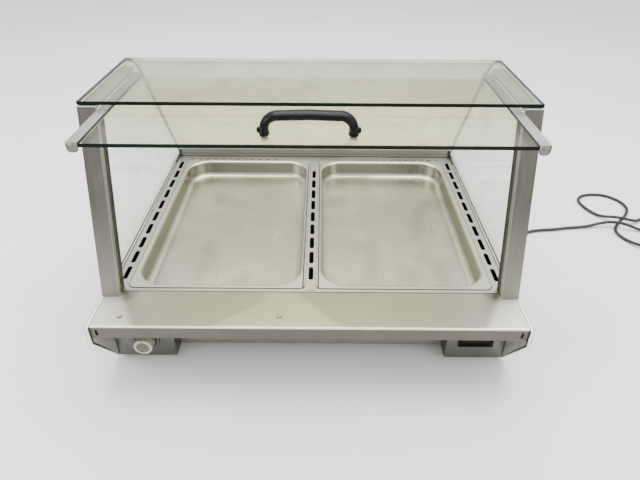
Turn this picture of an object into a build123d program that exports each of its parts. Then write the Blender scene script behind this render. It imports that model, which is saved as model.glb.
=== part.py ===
from build123d import *
import os
from math import cos, pi, radians, sin, tan

# Heated counter-top display case for two 1/1 gastronorm pans, in millimetres.
# X runs across the front, the operator stands at -Y, Z is up and the feet stand on Z = 0.

os.makedirs("parts", exist_ok=True)

# Pans, which set the size of the case round them
pan_length = 530.0
pan_width = 325.0
pan_depth = 40.0
pan_wall = 1.0
pan_flange = 10.0
pan_flange_thickness = 1.2
pan_corner_radius = 52.0
pan_flange_corner = 12.0
pan_shoulder_radius = 6.0
pan_floor_radius = 11.0
pan_draft = 4.0
pan_gap = 20.4
pan_set_back = 107.0
pan_lift = 25.0

# Heated tank under the pans
tank_floor_drop = 70.0
tank_wall = 1.0
tank_side_inset = 17.0
insulation_thickness = 10.0
element_diameter = 8.5
element_height = 16.0
element_leg_spacing = 34.0
element_leg_count = 6
element_length = pan_length - 110.0

# Case: the pans and the tank with the room that is left round them
side_room = 39.8
back_room = 71.0
room_under_tank = 62.0
case_width = 2 * pan_width + pan_gap + 2 * side_room
case_depth = pan_set_back + pan_length + back_room
case_height = tank_floor_drop + insulation_thickness + room_under_tank
foot_height = 8.0
foot_diameter = 32.0
foot_inset = 62.0
sheet = 1.5
thin_sheet = 1.2
fit_gap = 0.3

# Operator shelf and its lip
lip_height = 26.5
lip_set_back = 4.0
lip_bend_radius = 4.0
lip_return = 12.0
shelf_depth = 93.0
shelf_fold = 10.0
lip_slot_length = 13.0
lip_slot_width = 5.0
lip_slot_drop = 14.0
lip_slot_inset = 10.5
side_panel_drop = 37.0
side_edge_width = 4.0
side_corner_radius = 3.0
side_screw_inset = 49.0
side_screw_back = 24.0
middle_screw_offset = 52.0
middle_screw_back = 28.0

# Control boxes under the lip
box_set_back = 74.0
box_width = 112.0
box_top_drop = 16.0
apron_set_back = 107.8
apron_flange = 9.0

# Deck that carries the pans, with its rows of warm-air slots
deck_side_inset = 12.3
deck_back = 26.0
seat_drop = 8.0
seat_lip = 6.0
slot_length = 38.0
slot_width = 8.0
slot_pitch = 50.8
slot_first = 44.0
side_slot_count = 10
side_slot_inset = 25.0
bar_slot_count = 9
bar_width = 19.0
bar_end_lap = 8.0
upstand_height = 20.0
back_slot_length = 11.0
back_slot_width = 3.0
back_slot_pitch = 20.0
back_slot_count = 12
back_slot_first = 106.0
back_slot_set_back = 7.5

# Posts, arms and glass
lean = 16.5
post_set_back = 80.0
post_width = 31.5
post_depth = 17.0
post_strip_depth = 12.0
glass_top_height = 325.5
top_glass = 6.0
side_glass = 5.0
side_glass_inset = 4.0
glass_front_set_back = 178.5
glass_slope = 35.0
glass_bend_radius = 100.0
glass_back_set_back = 5.0
bead = 1.8
arm_length = case_depth - 492.0
arm_side_inset = 2.5
arm_drop = 22.0
arm_corner_radius = 12.0

# Flap
flap_side_gap = 2.0
flap_travel = arm_length - 33.0
flap_length = flap_travel + 134.0
flap_tail = 7.0
flap_top_drop = 4.5
flap_glass = 6.0
rail_width = 17.5
rail_height = 14.5
rail_foot = 8.0
rail_tip_radius = 7.0
glazing_top = 1.0
pin_drop = 6.0
pin_diameter = 6.0
pin_clearance = 0.05
roller_diameter = 10.0
roller_width = 5.0
roller_play = 0.1
block_length = 18.0
flap_angle = 90.0 - lean

# Handle
handle_spacing = 131.0
handle_height = 35.0
handle_thickness = 14.0
handle_depth = 24.0
handle_bend = 20.0
handle_set_back = 41.0
handle_foot_rim = 1.0
handle_foot_height = 3.0
handle_boss_diameter = 9.0
handle_boss_length = 4.0
handle_boss_height = 6.0
handle_screw = 6.0

# Thermostat and thermometer
knob_diameter = 36.0
knob_height = 19.0
knob_ribs = 24
knob_height_up = room_under_tank - 20.0
knob_inset = 63.0
knob_gap = 0.8
bezel_ring_diameter = 52.0
bezel_ring_height = 2.5
shaft_diameter = 6.0
thermostat_size = (44.0, 34.0, 40.0)
capillary_diameter = 2.4
capillary_hole = 4.0
display_width = 66.0
display_height = 32.0
display_depth = 3.0
display_inset = 61.5
display_height_up = room_under_tank - 16.0
window_width = 54.0
window_height = 20.0
controller_depth = 52.0

# Mains inlet
terminal_set_back = 85.0
terminal_length = 64.0
terminal_width = 22.0
terminal_height = 20.0
terminal_pitch = 10.0
gland_inset = 55.0
gland_height = 32.0
gland_diameter = 24.0
gland_length = 22.0
lead_diameter = 8.0
plug_diameter = 37.0
plug_sleeve = 26.0
plug_body_length = 34.0
plug_pin_diameter = 4.8
plug_pin_length = 19.0
plug_pin_spacing = 19.0
plug_z = plug_diameter / 2

# Places worked out from the sizes
front_y = -case_depth / 2
back_y = case_depth / 2
side_x = case_width / 2
inner_x = side_x - side_edge_width - 0.2
deck_z = foot_height + case_height
base_z = foot_height
lip_y = front_y + lip_set_back
box_y = front_y + box_set_back
apron_y = front_y + apron_set_back
shelf_back_y = lip_y + shelf_depth
pan_y = front_y + pan_set_back
pan_back_y = pan_y + pan_length
pan_x = (pan_gap + pan_width) / 2
deck_x = side_x - deck_side_inset
deck_front_y = shelf_back_y + fit_gap
deck_back_y = pan_back_y + deck_back
tank_x = side_x - tank_side_inset
tank_front_y = apron_y + 4.0
tank_back_y = deck_back_y - 8.0
tank_z = deck_z - tank_floor_drop
seat_z = deck_z - seat_drop
glass_z = deck_z + glass_top_height
under_glass_z = glass_z - top_glass
post_inner_x = side_x - post_width
arm_outer_x = side_x - arm_side_inset
arm_front_y = front_y + post_set_back + (under_glass_z - deck_z) * tan(radians(lean)) - 0.5
arm_back_y = arm_front_y + arm_length
glass_front_y = front_y + glass_front_set_back
side_glass_x = side_x - side_glass_inset
rail_outer_x = post_inner_x - flap_side_gap
rail_inner_x = rail_outer_x - rail_width
rail_top_z = under_glass_z - flap_top_drop
rail_bottom_z = rail_top_z - rail_height
flap_glass_top_z = rail_top_z - sheet - glazing_top
pin_z = rail_top_z - pin_drop
body_width, body_height, body_depth = thermostat_size
body_front_y = box_y + thin_sheet + 3
knob_x = -(side_x - knob_inset)
bulb_x = knob_x + 8
capillary_y = body_front_y + body_depth + 16
knob_z = base_z + knob_height_up
display_x = side_x - display_inset
display_z = base_z + display_height_up


def leaning_y(depth, z):
    """Y of the plane that lies depth behind the face of the leaning posts, at height z."""
    return front_y + post_set_back + (z - deck_z) * tan(radians(lean)) + depth / cos(radians(lean))


def slope_y(depth, z):
    """Y of the sloping glass at height z, depth inside its outer face."""
    outer = back_y - glass_back_set_back - (z - (deck_z - 10)) * tan(radians(glass_slope))
    return outer - depth / cos(radians(glass_slope))


pin_front_y = leaning_y(pin_drop + 1.0, pin_z)
pin_y = pin_front_y + flap_travel
flap_front_y = pin_y - flap_length


def folded(points, thickness):
    """Outline of a folded sheet: the points lie on its outer face and the metal on their left."""
    face = [Vector(*p) for p in points]
    ways = [(b - a).normalized() for a, b in zip(face, face[1:])]
    sides = [Vector(-w.Y, w.X) for w in ways]
    back = [face[0] + sides[0] * thickness]
    for p, m, n in zip(face[1:-1], sides, sides[1:]):
        back.append(p + (m + n) * (thickness / (1 + m.dot(n))))
    back.append(face[-1] + sides[-1] * thickness)
    return [(p.X, p.Y) for p in face + back[::-1]]


def finish(part, label):
    part.label = label
    export_step(part, f"parts/{label}.step")


# Base: bottom cover, feet, front apron, rear panel

with BuildPart() as bottom_cover:
    with BuildSketch(Plane.YZ):
        Polygon(
            folded(
                [
                    (apron_y + thin_sheet + 14, base_z + thin_sheet + 10),
                    (apron_y + thin_sheet + 0.2, base_z + thin_sheet + 10),
                    (apron_y + thin_sheet + 0.2, base_z),
                    (back_y - thin_sheet - 0.2, base_z),
                    (back_y - thin_sheet - 0.2, base_z + 14),
                ],
                thin_sheet,
            )
        )
    extrude(amount=inner_x, both=True)
    with BuildSketch(Plane.XY.offset(base_z)):
        with GridLocations(90, 0, 5, 1):
            with GridLocations(0, 12, 1, 9):
                SlotOverall(50, 4)
    extrude(amount=thin_sheet, mode=Mode.SUBTRACT)
finish(bottom_cover.part, "bottom_cover")

with BuildPart() as feet:
    with BuildSketch():
        with GridLocations(case_width - 2 * foot_inset, case_depth - 2 * (foot_inset + 55), 2, 2):
            Circle(foot_diameter / 2)
    extrude(amount=foot_height)
    chamfer(feet.faces().sort_by(Axis.Z)[:4].edges(), 1.5)
finish(feet.part, "feet")

with BuildPart() as front_apron:
    with BuildSketch(Plane.YZ):
        Polygon(
            folded(
                [
                    (apron_y + thin_sheet, base_z),
                    (apron_y + thin_sheet, deck_z - thin_sheet),
                    (apron_y - apron_flange, deck_z - thin_sheet),
                ],
                thin_sheet,
            )
        )
    extrude(amount=inner_x, both=True)
    with Locations((0, apron_y, deck_z)):
        with GridLocations(2 * inner_x, 0, 2, 1):
            notch_width = inner_x - deck_x + fit_gap
            notch_depth = apron_flange + fit_gap
            notch_height = deck_z - seat_z + thin_sheet + fit_gap
            Box(2 * notch_width, 2 * notch_depth, 2 * notch_height, mode=Mode.SUBTRACT)
    with BuildSketch(Plane.XZ.offset(-apron_y + 1)):
        with Locations((knob_x, knob_z), (display_x, display_z)):
            Rectangle(display_width + 6, 46)
    extrude(amount=-4, mode=Mode.SUBTRACT)
finish(front_apron.part, "front_apron")

with BuildPart() as rear_panel:
    with BuildSketch(Plane.XZ.offset(-back_y)):
        with Locations((0, base_z + (case_height + 4) / 2)):
            Rectangle(2 * inner_x, case_height + 4)
        with Locations((side_x - gland_inset, base_z + gland_height)):
            Circle(10.1, mode=Mode.SUBTRACT)
        louvre_z = base_z + case_height * 0.45
        with Locations((-side_x / 2.4, louvre_z), (side_x / 8, louvre_z)):
            with GridLocations(0, 10, 1, 6):
                SlotOverall(90, 4, mode=Mode.SUBTRACT)
    extrude(amount=thin_sheet)
finish(rear_panel.part, "rear_panel")

# Side panels: one sheet each, with its edge folded inward all round

notch_z = deck_z - 10.0
notch_y = slope_y(top_glass, deck_z) - 1.0
side_outline = [
    (front_y, deck_z),
    (front_y, deck_z - side_panel_drop),
    (box_y, base_z),
    (back_y, base_z),
    (back_y, notch_z),
    (notch_y, notch_z),
    (notch_y, deck_z),
]
for hand, name in ((-1, "left"), (1, "right")):
    with BuildPart() as side_panel:
        with BuildSketch(Plane.YZ.offset(hand * side_x)):
            Polygon(side_outline)
        extrude(amount=-hand * side_edge_width)
        with BuildSketch(Plane.YZ.offset(hand * (side_x - sheet))):
            with BuildLine():
                Polyline(*side_outline, close=True)
                offset(amount=-sheet, kind=Kind.INTERSECTION, mode=Mode.REPLACE)
            make_face()
        extrude(amount=-hand * side_edge_width, mode=Mode.SUBTRACT)
        front_corners = side_panel.edges().filter_by(Axis.X).group_by(Axis.Y)[0]
        fillet(front_corners, side_corner_radius)
    finish(side_panel.part, f"side_panel_{name}")

# Operator shelf with its lip

with BuildPart() as front_shelf:
    with BuildSketch(Plane.YZ):
        Polygon(
            folded(
                [
                    (shelf_back_y, deck_z - shelf_fold),
                    (shelf_back_y, deck_z),
                    (lip_y, deck_z),
                    (lip_y, deck_z - lip_height),
                    (lip_y + lip_return, deck_z - lip_height),
                ],
                sheet,
            )
        )
    extrude(amount=inner_x, both=True)
    long_edges = front_shelf.edges().filter_by(Axis.X)
    bend = long_edges.filter_by_position(Axis.Y, lip_y - 1, lip_y + sheet + 1)
    bend = bend.filter_by_position(Axis.Z, deck_z - sheet - 1, deck_z + 1)
    fillet(bend.sort_by(Axis.Z)[-1], lip_bend_radius)
    fillet(front_shelf.edges().filter_by(Axis.X).sort_by(Axis.Z)[:2].sort_by(Axis.Y)[0], sheet)
    with BuildSketch(Plane.XZ.offset(-lip_y + 1)):
        with Locations((0, deck_z - lip_slot_drop)):
            with GridLocations(case_width - 2 * (side_edge_width + lip_slot_inset), 0, 2, 1):
                SlotOverall(lip_slot_length, lip_slot_width, rotation=90)
    extrude(amount=-(sheet + 2), mode=Mode.SUBTRACT)
finish(front_shelf.part, "front_shelf")

# Control boxes: open at the back, where they meet the apron

box_mid_x = inner_x - box_width / 2
box_top_z = deck_z - box_top_drop
for hand, name in ((-1, "left"), (1, "right")):
    with BuildPart() as control_box:
        with Locations((hand * box_mid_x, (box_y + apron_y) / 2, (base_z + box_top_z) / 2)):
            Box(box_width, apron_y - box_y, box_top_z - base_z)
        fillet(control_box.edges().filter_by(Axis.Z).sort_by(Axis.Y)[:2], 1.5)
        offset(amount=-thin_sheet, openings=control_box.faces().sort_by(Axis.Y)[-1])
        with BuildSketch(Plane.XZ.offset(-box_y + 1)):
            if hand < 0:
                with Locations((knob_x, knob_z)):
                    Circle(5.2)
            else:
                with Locations((display_x, display_z)):
                    Rectangle(display_width - 3, display_height - 4)
        extrude(amount=-(thin_sheet + 2), mode=Mode.SUBTRACT)
    finish(control_box.part, f"control_box_{name}")

# Deck with the pan opening and the slot rows

flange_seat = pan_flange - pan_shoulder_radius - fit_gap
opening_front_y = pan_y + flange_seat
opening_back_y = pan_back_y - flange_seat
opening_x = pan_x + pan_width / 2 - flange_seat
opening_mid_y = (opening_front_y + opening_back_y) / 2
slot_mid_y = pan_y + slot_first + slot_pitch * (side_slot_count - 1) / 2
bar_mid_y = pan_y + slot_first + slot_pitch * (bar_slot_count - 1) / 2
with BuildPart() as pan_deck:
    with BuildSketch(Plane.XY.offset(deck_z - thin_sheet)):
        with Locations((0, (deck_front_y + deck_back_y) / 2)):
            Rectangle(2 * deck_x, deck_back_y - deck_front_y)
        with Locations((0, opening_mid_y)):
            RectangleRounded(2 * opening_x, opening_back_y - opening_front_y, 6, mode=Mode.SUBTRACT)
        with Locations((0, slot_mid_y)):
            with GridLocations(2 * (side_x - side_slot_inset), slot_pitch, 2, side_slot_count):
                SlotOverall(slot_length, slot_width, rotation=90, mode=Mode.SUBTRACT)
        row_middle = back_slot_first + back_slot_pitch * (back_slot_count - 1) / 2
        row_y = pan_back_y + back_slot_set_back
        with Locations((-row_middle, row_y), (row_middle, row_y)):
            with GridLocations(back_slot_pitch, 0, back_slot_count, 1):
                SlotOverall(back_slot_length, back_slot_width, mode=Mode.SUBTRACT)
    extrude(amount=thin_sheet)
finish(pan_deck.part, "pan_deck")

with BuildPart() as divider_bar:
    with BuildSketch(Plane.XY.offset(deck_z - thin_sheet)):
        with Locations((0, opening_mid_y)):
            Rectangle(pan_gap + 2 * flange_seat, opening_back_y - opening_front_y - 2 * fit_gap)
    extrude(amount=thin_sheet)
    with BuildSketch(Plane.XY.offset(deck_z)):
        with Locations((0, opening_mid_y)):
            Rectangle(bar_width, opening_back_y - opening_front_y + 2 * bar_end_lap)
    extrude(amount=pan_flange_thickness)
    with BuildSketch(Plane.XY.offset(deck_z - thin_sheet)):
        with Locations((0, bar_mid_y)):
            with GridLocations(0, slot_pitch, 1, bar_slot_count):
                SlotOverall(slot_length, slot_width, rotation=90)
    extrude(amount=thin_sheet + pan_flange_thickness, mode=Mode.SUBTRACT)
finish(divider_bar.part, "divider_bar")

# Heated tank, its insulation and the two heating elements

with BuildPart() as well_tank:
    with Locations((0, (tank_front_y + tank_back_y) / 2, (tank_z + deck_z - thin_sheet) / 2)):
        Box(2 * tank_x, tank_back_y - tank_front_y, deck_z - thin_sheet - tank_z)
    fillet(well_tank.edges().filter_by(Axis.Z), 12)
    offset(amount=-tank_wall, openings=well_tank.faces().sort_by(Axis.Z)[-1])
    with BuildSketch(Plane.XY.offset(tank_z)):
        with Locations((bulb_x, capillary_y)):
            Circle(capillary_hole / 2)
    extrude(amount=tank_wall, mode=Mode.SUBTRACT)
finish(well_tank.part, "well_tank")

with BuildPart() as insulation:
    with BuildSketch(Plane.XY.offset(tank_z - insulation_thickness)):
        with Locations((0, (tank_front_y + tank_back_y) / 2)):
            RectangleRounded(2 * tank_x, tank_back_y - tank_front_y, 12)
        with Locations((bulb_x, capillary_y)):
            Circle(capillary_hole / 2, mode=Mode.SUBTRACT)
    extrude(amount=insulation_thickness)
finish(insulation.part, "insulation")

element_z = tank_z + tank_wall + element_height
element_mid_y = (tank_front_y + tank_back_y) / 2
leg_offsets = [element_leg_spacing * (i - (element_leg_count - 1) / 2) for i in range(element_leg_count)]
for hand, name in ((-1, "left"), (1, "right")):
    turns = [(leg_offsets[0], tank_front_y + tank_wall + 0.5)]
    for i, across in enumerate(leg_offsets):
        ends = (-element_length / 2, element_length / 2)
        near, far = ends if i % 2 == 0 else ends[::-1]
        if i > 0:
            turns.append((across, element_mid_y + near))
        if i < element_leg_count - 1:
            turns.append((across, element_mid_y + far))
    turns.append((leg_offsets[-1], tank_front_y + tank_wall + 0.5))
    route = [(hand * pan_x + x, y, element_z) for x, y in turns]
    with BuildPart() as heating_element:
        with BuildLine() as element_line:
            FilletPolyline(*route, radius=element_leg_spacing / 2 - 0.5)
        with BuildSketch(Plane(origin=route[0], z_dir=(0, 1, 0))):
            Circle(element_diameter / 2)
        sweep(path=element_line.line)
    finish(heating_element.part, f"heating_element_{name}")

with BuildPart() as element_brackets:
    for hand in (-1, 1):
        for across_y in (-element_length / 3, element_length / 3):
            with BuildSketch(Plane.XZ.offset(-(element_mid_y + across_y))):
                span = element_leg_spacing * (element_leg_count - 1) + 40
                with Locations((hand * pan_x, tank_z + tank_wall + element_height / 2 + 4)):
                    Rectangle(span, element_height + 8)
                with Locations(*[(hand * pan_x + x, element_z) for x in leg_offsets]):
                    Circle(element_diameter / 2 + 0.1, mode=Mode.SUBTRACT)
            extrude(amount=1.5)
finish(element_brackets.part, "element_brackets")

# Channel along the back that holds the foot of the bent glass

channel_floor_z = deck_z - 9.0
upstand_z = deck_z + upstand_height
wall_gap = top_glass + 0.5
channel_back_y = back_y - thin_sheet - 0.2
with BuildPart() as glass_channel:
    with BuildSketch(Plane.YZ):
        Polygon(
            folded(
                [
                    (deck_back_y + fit_gap, deck_z - 8),
                    (deck_back_y + fit_gap, deck_z),
                    (deck_back_y + 4, upstand_z),
                    (slope_y(wall_gap, upstand_z) - 0.1, upstand_z),
                    (slope_y(wall_gap, channel_floor_z), channel_floor_z),
                    (channel_back_y - thin_sheet, channel_floor_z),
                    (channel_back_y - thin_sheet, deck_z + 2),
                ],
                -thin_sheet,
            )
        )
    extrude(amount=deck_x, both=True)
finish(glass_channel.part, "glass_channel")

# Leaning posts, their black strips and the arms under the top glass

post_top_z = under_glass_z - sheet
arm_low_z = post_top_z - arm_drop


def leaning_band(near, far, low, high):
    """Outline of a band between two depths behind the posts' face."""
    return [
        (leaning_y(near, low), low),
        (leaning_y(far, low), low),
        (leaning_y(far, high), high),
        (leaning_y(near, high), high),
    ]


track_z = (pin_z - roller_diameter / 2 - roller_play, pin_z + roller_diameter / 2 + roller_play)
track_y = (pin_front_y - roller_diameter / 2 - roller_play, pin_y + roller_diameter / 2 + roller_play)
for hand, name in ((-1, "left"), (1, "right")):
    with BuildPart() as post:
        with BuildSketch(Plane.YZ.offset(hand * post_inner_x)):
            Polygon(leaning_band(0, post_depth, deck_z, post_top_z))
        extrude(amount=hand * (post_width - 1))
        with BuildSketch(Plane.YZ.offset(hand * (post_inner_x + sheet))):
            Polygon(leaning_band(sheet, post_depth - sheet, deck_z, post_top_z))
        extrude(amount=hand * (post_width - 1 - 2 * sheet), mode=Mode.SUBTRACT)
        track_mid = ((track_y[0] + track_y[1]) / 2, (track_z[0] + track_z[1]) / 2)
        with BuildSketch(Plane.YZ.offset(hand * (post_inner_x - 1))):
            with Locations(track_mid):
                SlotOverall(track_y[1] - track_y[0], track_z[1] - track_z[0])
        extrude(amount=hand * (roller_width + 6), mode=Mode.SUBTRACT)
    finish(post.part, f"post_{name}")

    with BuildPart() as arm:
        with BuildSketch(Plane.XY.offset(under_glass_z - sheet)):
            with Locations((hand * (post_inner_x + arm_outer_x) / 2, (arm_front_y + arm_back_y) / 2)):
                Rectangle(arm_outer_x - post_inner_x, arm_back_y - arm_front_y)
        extrude(amount=sheet)
        fillet(arm.edges().filter_by(Axis.Z).sort_by(Axis.Y)[-2:], arm_corner_radius)
        with BuildSketch(Plane.YZ.offset(hand * post_inner_x)):
            Polygon(
                [
                    (leaning_y(post_depth + 0.1, arm_low_z), arm_low_z),
                    (arm_back_y - arm_corner_radius, arm_low_z),
                    (arm_back_y - arm_corner_radius, post_top_z),
                    (leaning_y(post_depth + 0.1, post_top_z), post_top_z),
                ]
            )
            with Locations(track_mid):
                SlotOverall(track_y[1] - track_y[0], track_z[1] - track_z[0], mode=Mode.SUBTRACT)
        extrude(amount=hand * sheet)
    finish(arm.part, f"arm_{name}")

strip_top_z = under_glass_z - sheet - arm_drop - 1
with BuildPart() as post_strips:
    for hand in (-1, 1):
        with BuildSketch(Plane.YZ.offset(hand * post_inner_x)):
            Polygon(leaning_band(post_depth, post_depth + post_strip_depth, deck_z, strip_top_z))
        extrude(amount=hand * 4)
finish(post_strips.part, "post_strips")

# Glass: one bent pane for the top and the customer side, and two side panes

slope_top_y = slope_y(0, glass_z)
glass_foot_z = channel_floor_z + 0.1 + top_glass * sin(radians(glass_slope))
with BuildPart() as bent_glass:
    with BuildSketch(Plane.YZ):
        with BuildLine() as pane:
            FilletPolyline(
                (glass_front_y, glass_z),
                (slope_top_y, glass_z),
                (slope_y(0, glass_foot_z), glass_foot_z),
                radius=glass_bend_radius,
            )
            offset(amount=top_glass, side=Side.RIGHT, mode=Mode.REPLACE)
        make_face()
    extrude(amount=side_x, both=True)
    chamfer(bent_glass.edges().filter_by(Axis.X).sort_by(Axis.Y)[:2], 0.6)
finish(bent_glass.part, "bent_glass")

side_front_y = leaning_y(post_depth + 0.3, deck_z)
inner_gap = top_glass + bead
side_glass_top_z = glass_z - inner_gap
bend_start_y = slope_top_y - glass_bend_radius * tan(radians(90 - glass_slope) / 2)
bend_centre = (bend_start_y, glass_z - glass_bend_radius)
for hand, name in ((-1, "left"), (1, "right")):
    with BuildPart() as side_pane:
        with BuildSketch(Plane.YZ.offset(hand * side_glass_x)):
            with BuildLine():
                front_top = (leaning_y(post_depth + 0.3, side_glass_top_z), side_glass_top_z)
                front = Line((side_front_y, deck_z - 8), front_top)
                top = Line(front @ 1, (bend_centre[0], side_glass_top_z))
                bend = CenterArc(bend_centre, glass_bend_radius - inner_gap, 90, -(90 - glass_slope))
                back = Line(bend @ 1, (slope_y(inner_gap, deck_z + 1), deck_z + 1))
                heel = Line(back @ 1, (slope_y(inner_gap, deck_z + 1) - 12, deck_z - 8))
                Line(heel @ 1, front @ 0)
            make_face()
        extrude(amount=-hand * side_glass)
    finish(side_pane.part, f"side_glass_{name}")

with BuildPart() as glass_beads:
    for hand in (-1, 1):
        with BuildSketch(Plane.YZ.offset(hand * (side_glass_x - 0.5))):
            with BuildLine():
                top = Line((arm_back_y + 1, under_glass_z), (bend_centre[0], under_glass_z))
                bend = CenterArc(bend_centre, glass_bend_radius - top_glass, 90, -(90 - glass_slope))
                back = Line(bend @ 1, (slope_y(top_glass, upstand_z + 2), upstand_z + 2))
                foot = Line(back @ 1, (slope_y(inner_gap, upstand_z + 2), upstand_z + 2))
                inner_radius = glass_bend_radius - inner_gap
                inner_bend = CenterArc(bend_centre, inner_radius, glass_slope, 90 - glass_slope)
                Line(foot @ 1, inner_bend @ 0)
                inner_top = Line(inner_bend @ 1, (arm_back_y + 1, side_glass_top_z))
                Line(inner_top @ 1, top @ 0)
            make_face()
        extrude(amount=-hand * (side_glass - 1))
finish(glass_beads.part, "glass_beads")

seat_front_y = side_front_y - 1
seat_back_y = slope_y(inner_gap, deck_z + 1) - 12
with BuildPart() as glass_seats:
    for hand in (-1, 1):
        with BuildSketch(Plane.XZ.offset(-seat_front_y)):
            outer = side_x - sheet
            inner = deck_x
            Polygon(
                [
                    (hand * outer, seat_z + seat_lip),
                    (hand * outer, seat_z - thin_sheet),
                    (hand * inner, seat_z - thin_sheet),
                    (hand * inner, deck_z),
                    (hand * (inner + thin_sheet), deck_z),
                    (hand * (inner + thin_sheet), seat_z),
                    (hand * (outer - thin_sheet), seat_z),
                    (hand * (outer - thin_sheet), seat_z + seat_lip),
                ]
            )
        extrude(amount=-(seat_back_y - seat_front_y))
finish(glass_seats.part, "glass_seats")

gasket_y = (side_front_y + 1, deck_back_y - 6.2)
gasket_x = (deck_x + thin_sheet, side_glass_x - side_glass)
with BuildPart() as glass_gaskets:
    for hand in (-1, 1):
        with Locations((hand * sum(gasket_x) / 2, sum(gasket_y) / 2, seat_z + 5)):
            Box(gasket_x[1] - gasket_x[0], gasket_y[1] - gasket_y[0], 10)
finish(glass_gaskets.part, "glass_gaskets")

with BuildPart() as corner_seals:
    for hand in (-1, 1):
        with BuildSketch(Plane.YZ.offset(hand * (side_glass_x - side_glass))):
            with BuildLine():
                Polyline(
                    (deck_back_y - 6, deck_z),
                    (deck_back_y + fit_gap, deck_z),
                    (deck_back_y + 3.8, upstand_z - 1),
                    (deck_back_y + 0.5, upstand_z - 1),
                    close=True,
                )
            make_face()
        extrude(amount=-hand * 5)
finish(corner_seals.part, "corner_seals")

# Pans: pressed from one sheet, here a swept wall with its flange and floor

wall_length = pan_length - 2 * pan_flange
wall_width = pan_width - 2 * pan_flange
pan_top_z = deck_z + pan_flange_thickness
pan_mid_y = pan_y + pan_length / 2
pan_sink = pan_depth * tan(radians(pan_draft))
floor_reach = pan_sink + pan_floor_radius + 6
shoulder_reach = pan_shoulder_radius - 0.5
for hand, name in ((-1, "left"), (1, "right")):
    with BuildPart() as pan:
        with BuildLine(Plane(origin=(hand * pan_x, pan_mid_y, pan_top_z))) as rim:
            across, along, r = wall_width / 2, wall_length / 2, pan_corner_radius
            start = Line((across, 0), (across, along - r))
            back_right = RadiusArc(start @ 1, (across - r, along), -r)
            back = Line(back_right @ 1, (r - across, along))
            back_left = RadiusArc(back @ 1, (-across, along - r), -r)
            left = Line(back_left @ 1, (-across, r - along))
            front_left = RadiusArc(left @ 1, (r - across, -along), -r)
            front = Line(front_left @ 1, (across - r, -along))
            front_right = RadiusArc(front @ 1, (across, r - along), -r)
            Line(front_right @ 1, start @ 0)
        section_at = (hand * pan_x + wall_width / 2, pan_mid_y, pan_top_z)
        with BuildSketch(Plane(origin=section_at, x_dir=(1, 0, 0), z_dir=(0, -1, 0))):
            with BuildLine():
                FilletPolyline(
                    (pan_shoulder_radius, 0),
                    (0, 0),
                    (-pan_sink, -pan_depth),
                    (-floor_reach, -pan_depth),
                    radius=(shoulder_reach, pan_floor_radius),
                )
                offset(amount=pan_wall, side=Side.LEFT, mode=Mode.REPLACE)
            make_face()
        sweep(path=rim.wires()[0])
        with BuildSketch(Plane.XY.offset(deck_z)):
            with Locations((hand * pan_x, pan_mid_y)):
                RectangleRounded(pan_width, pan_length, pan_flange_corner)
                RectangleRounded(
                    wall_width + 2 * shoulder_reach,
                    wall_length + 2 * shoulder_reach,
                    pan_corner_radius + shoulder_reach,
                    mode=Mode.SUBTRACT,
                )
        extrude(amount=pan_flange_thickness)
        with BuildSketch(Plane.XY.offset(pan_top_z - pan_depth - pan_wall)):
            with Locations((hand * pan_x, pan_mid_y)):
                inset = floor_reach - 1
                RectangleRounded(wall_width - 2 * inset, wall_length - 2 * inset, pan_corner_radius - inset)
        extrude(amount=pan_wall)
    finish(pan.part, f"pan_{name}")

# Flap: toughened glass between two rails, carried by pins in the arms

glass_edge_x = rail_outer_x - sheet - 2.0
glass_back_y = pin_y - block_length / 2 - 1
with BuildPart() as flap_pane:
    with BuildSketch(Plane.XY.offset(flap_glass_top_z - flap_glass)):
        with Locations((0, (flap_front_y + 1 + glass_back_y) / 2)):
            Rectangle(2 * glass_edge_x, glass_back_y - flap_front_y - 1)
        with Locations((0, flap_front_y + handle_set_back)):
            with GridLocations(handle_spacing, 0, 2, 1):
                Circle(handle_screw / 2 + 1, mode=Mode.SUBTRACT)
    extrude(amount=flap_glass)
    chamfer(flap_pane.faces().sort_by(Axis.Y)[0].edges().filter_by(Axis.X), 0.5)
finish(flap_pane.part, "flap_glass")

with BuildPart() as flap_gaskets:
    for hand in (-1, 1):
        with BuildSketch(Plane.XZ.offset(-(flap_front_y + 1))):
            web_x = rail_outer_x - sheet
            foot_top_z = rail_bottom_z + sheet
            Polygon(
                [
                    (hand * (rail_inner_x + 0.4), rail_top_z - sheet),
                    (hand * web_x, rail_top_z - sheet),
                    (hand * web_x, foot_top_z),
                    (hand * (rail_outer_x - rail_foot), foot_top_z),
                    (hand * (rail_outer_x - rail_foot), flap_glass_top_z - flap_glass),
                    (hand * glass_edge_x, flap_glass_top_z - flap_glass),
                    (hand * glass_edge_x, flap_glass_top_z),
                    (hand * (rail_inner_x + 0.4), flap_glass_top_z),
                ]
            )
        extrude(amount=-(glass_back_y - flap_front_y - 1))
        with Locations((hand * rail_outer_x, flap_front_y, rail_bottom_z)):
            under_glass_height = rail_height - sheet - glazing_top - flap_glass
            Box(
                2 * rail_foot + 4,
                2 * (rail_tip_radius + 6),
                2 * under_glass_height,
                mode=Mode.SUBTRACT,
            )
finish(flap_gaskets.part, "flap_gaskets")

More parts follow.
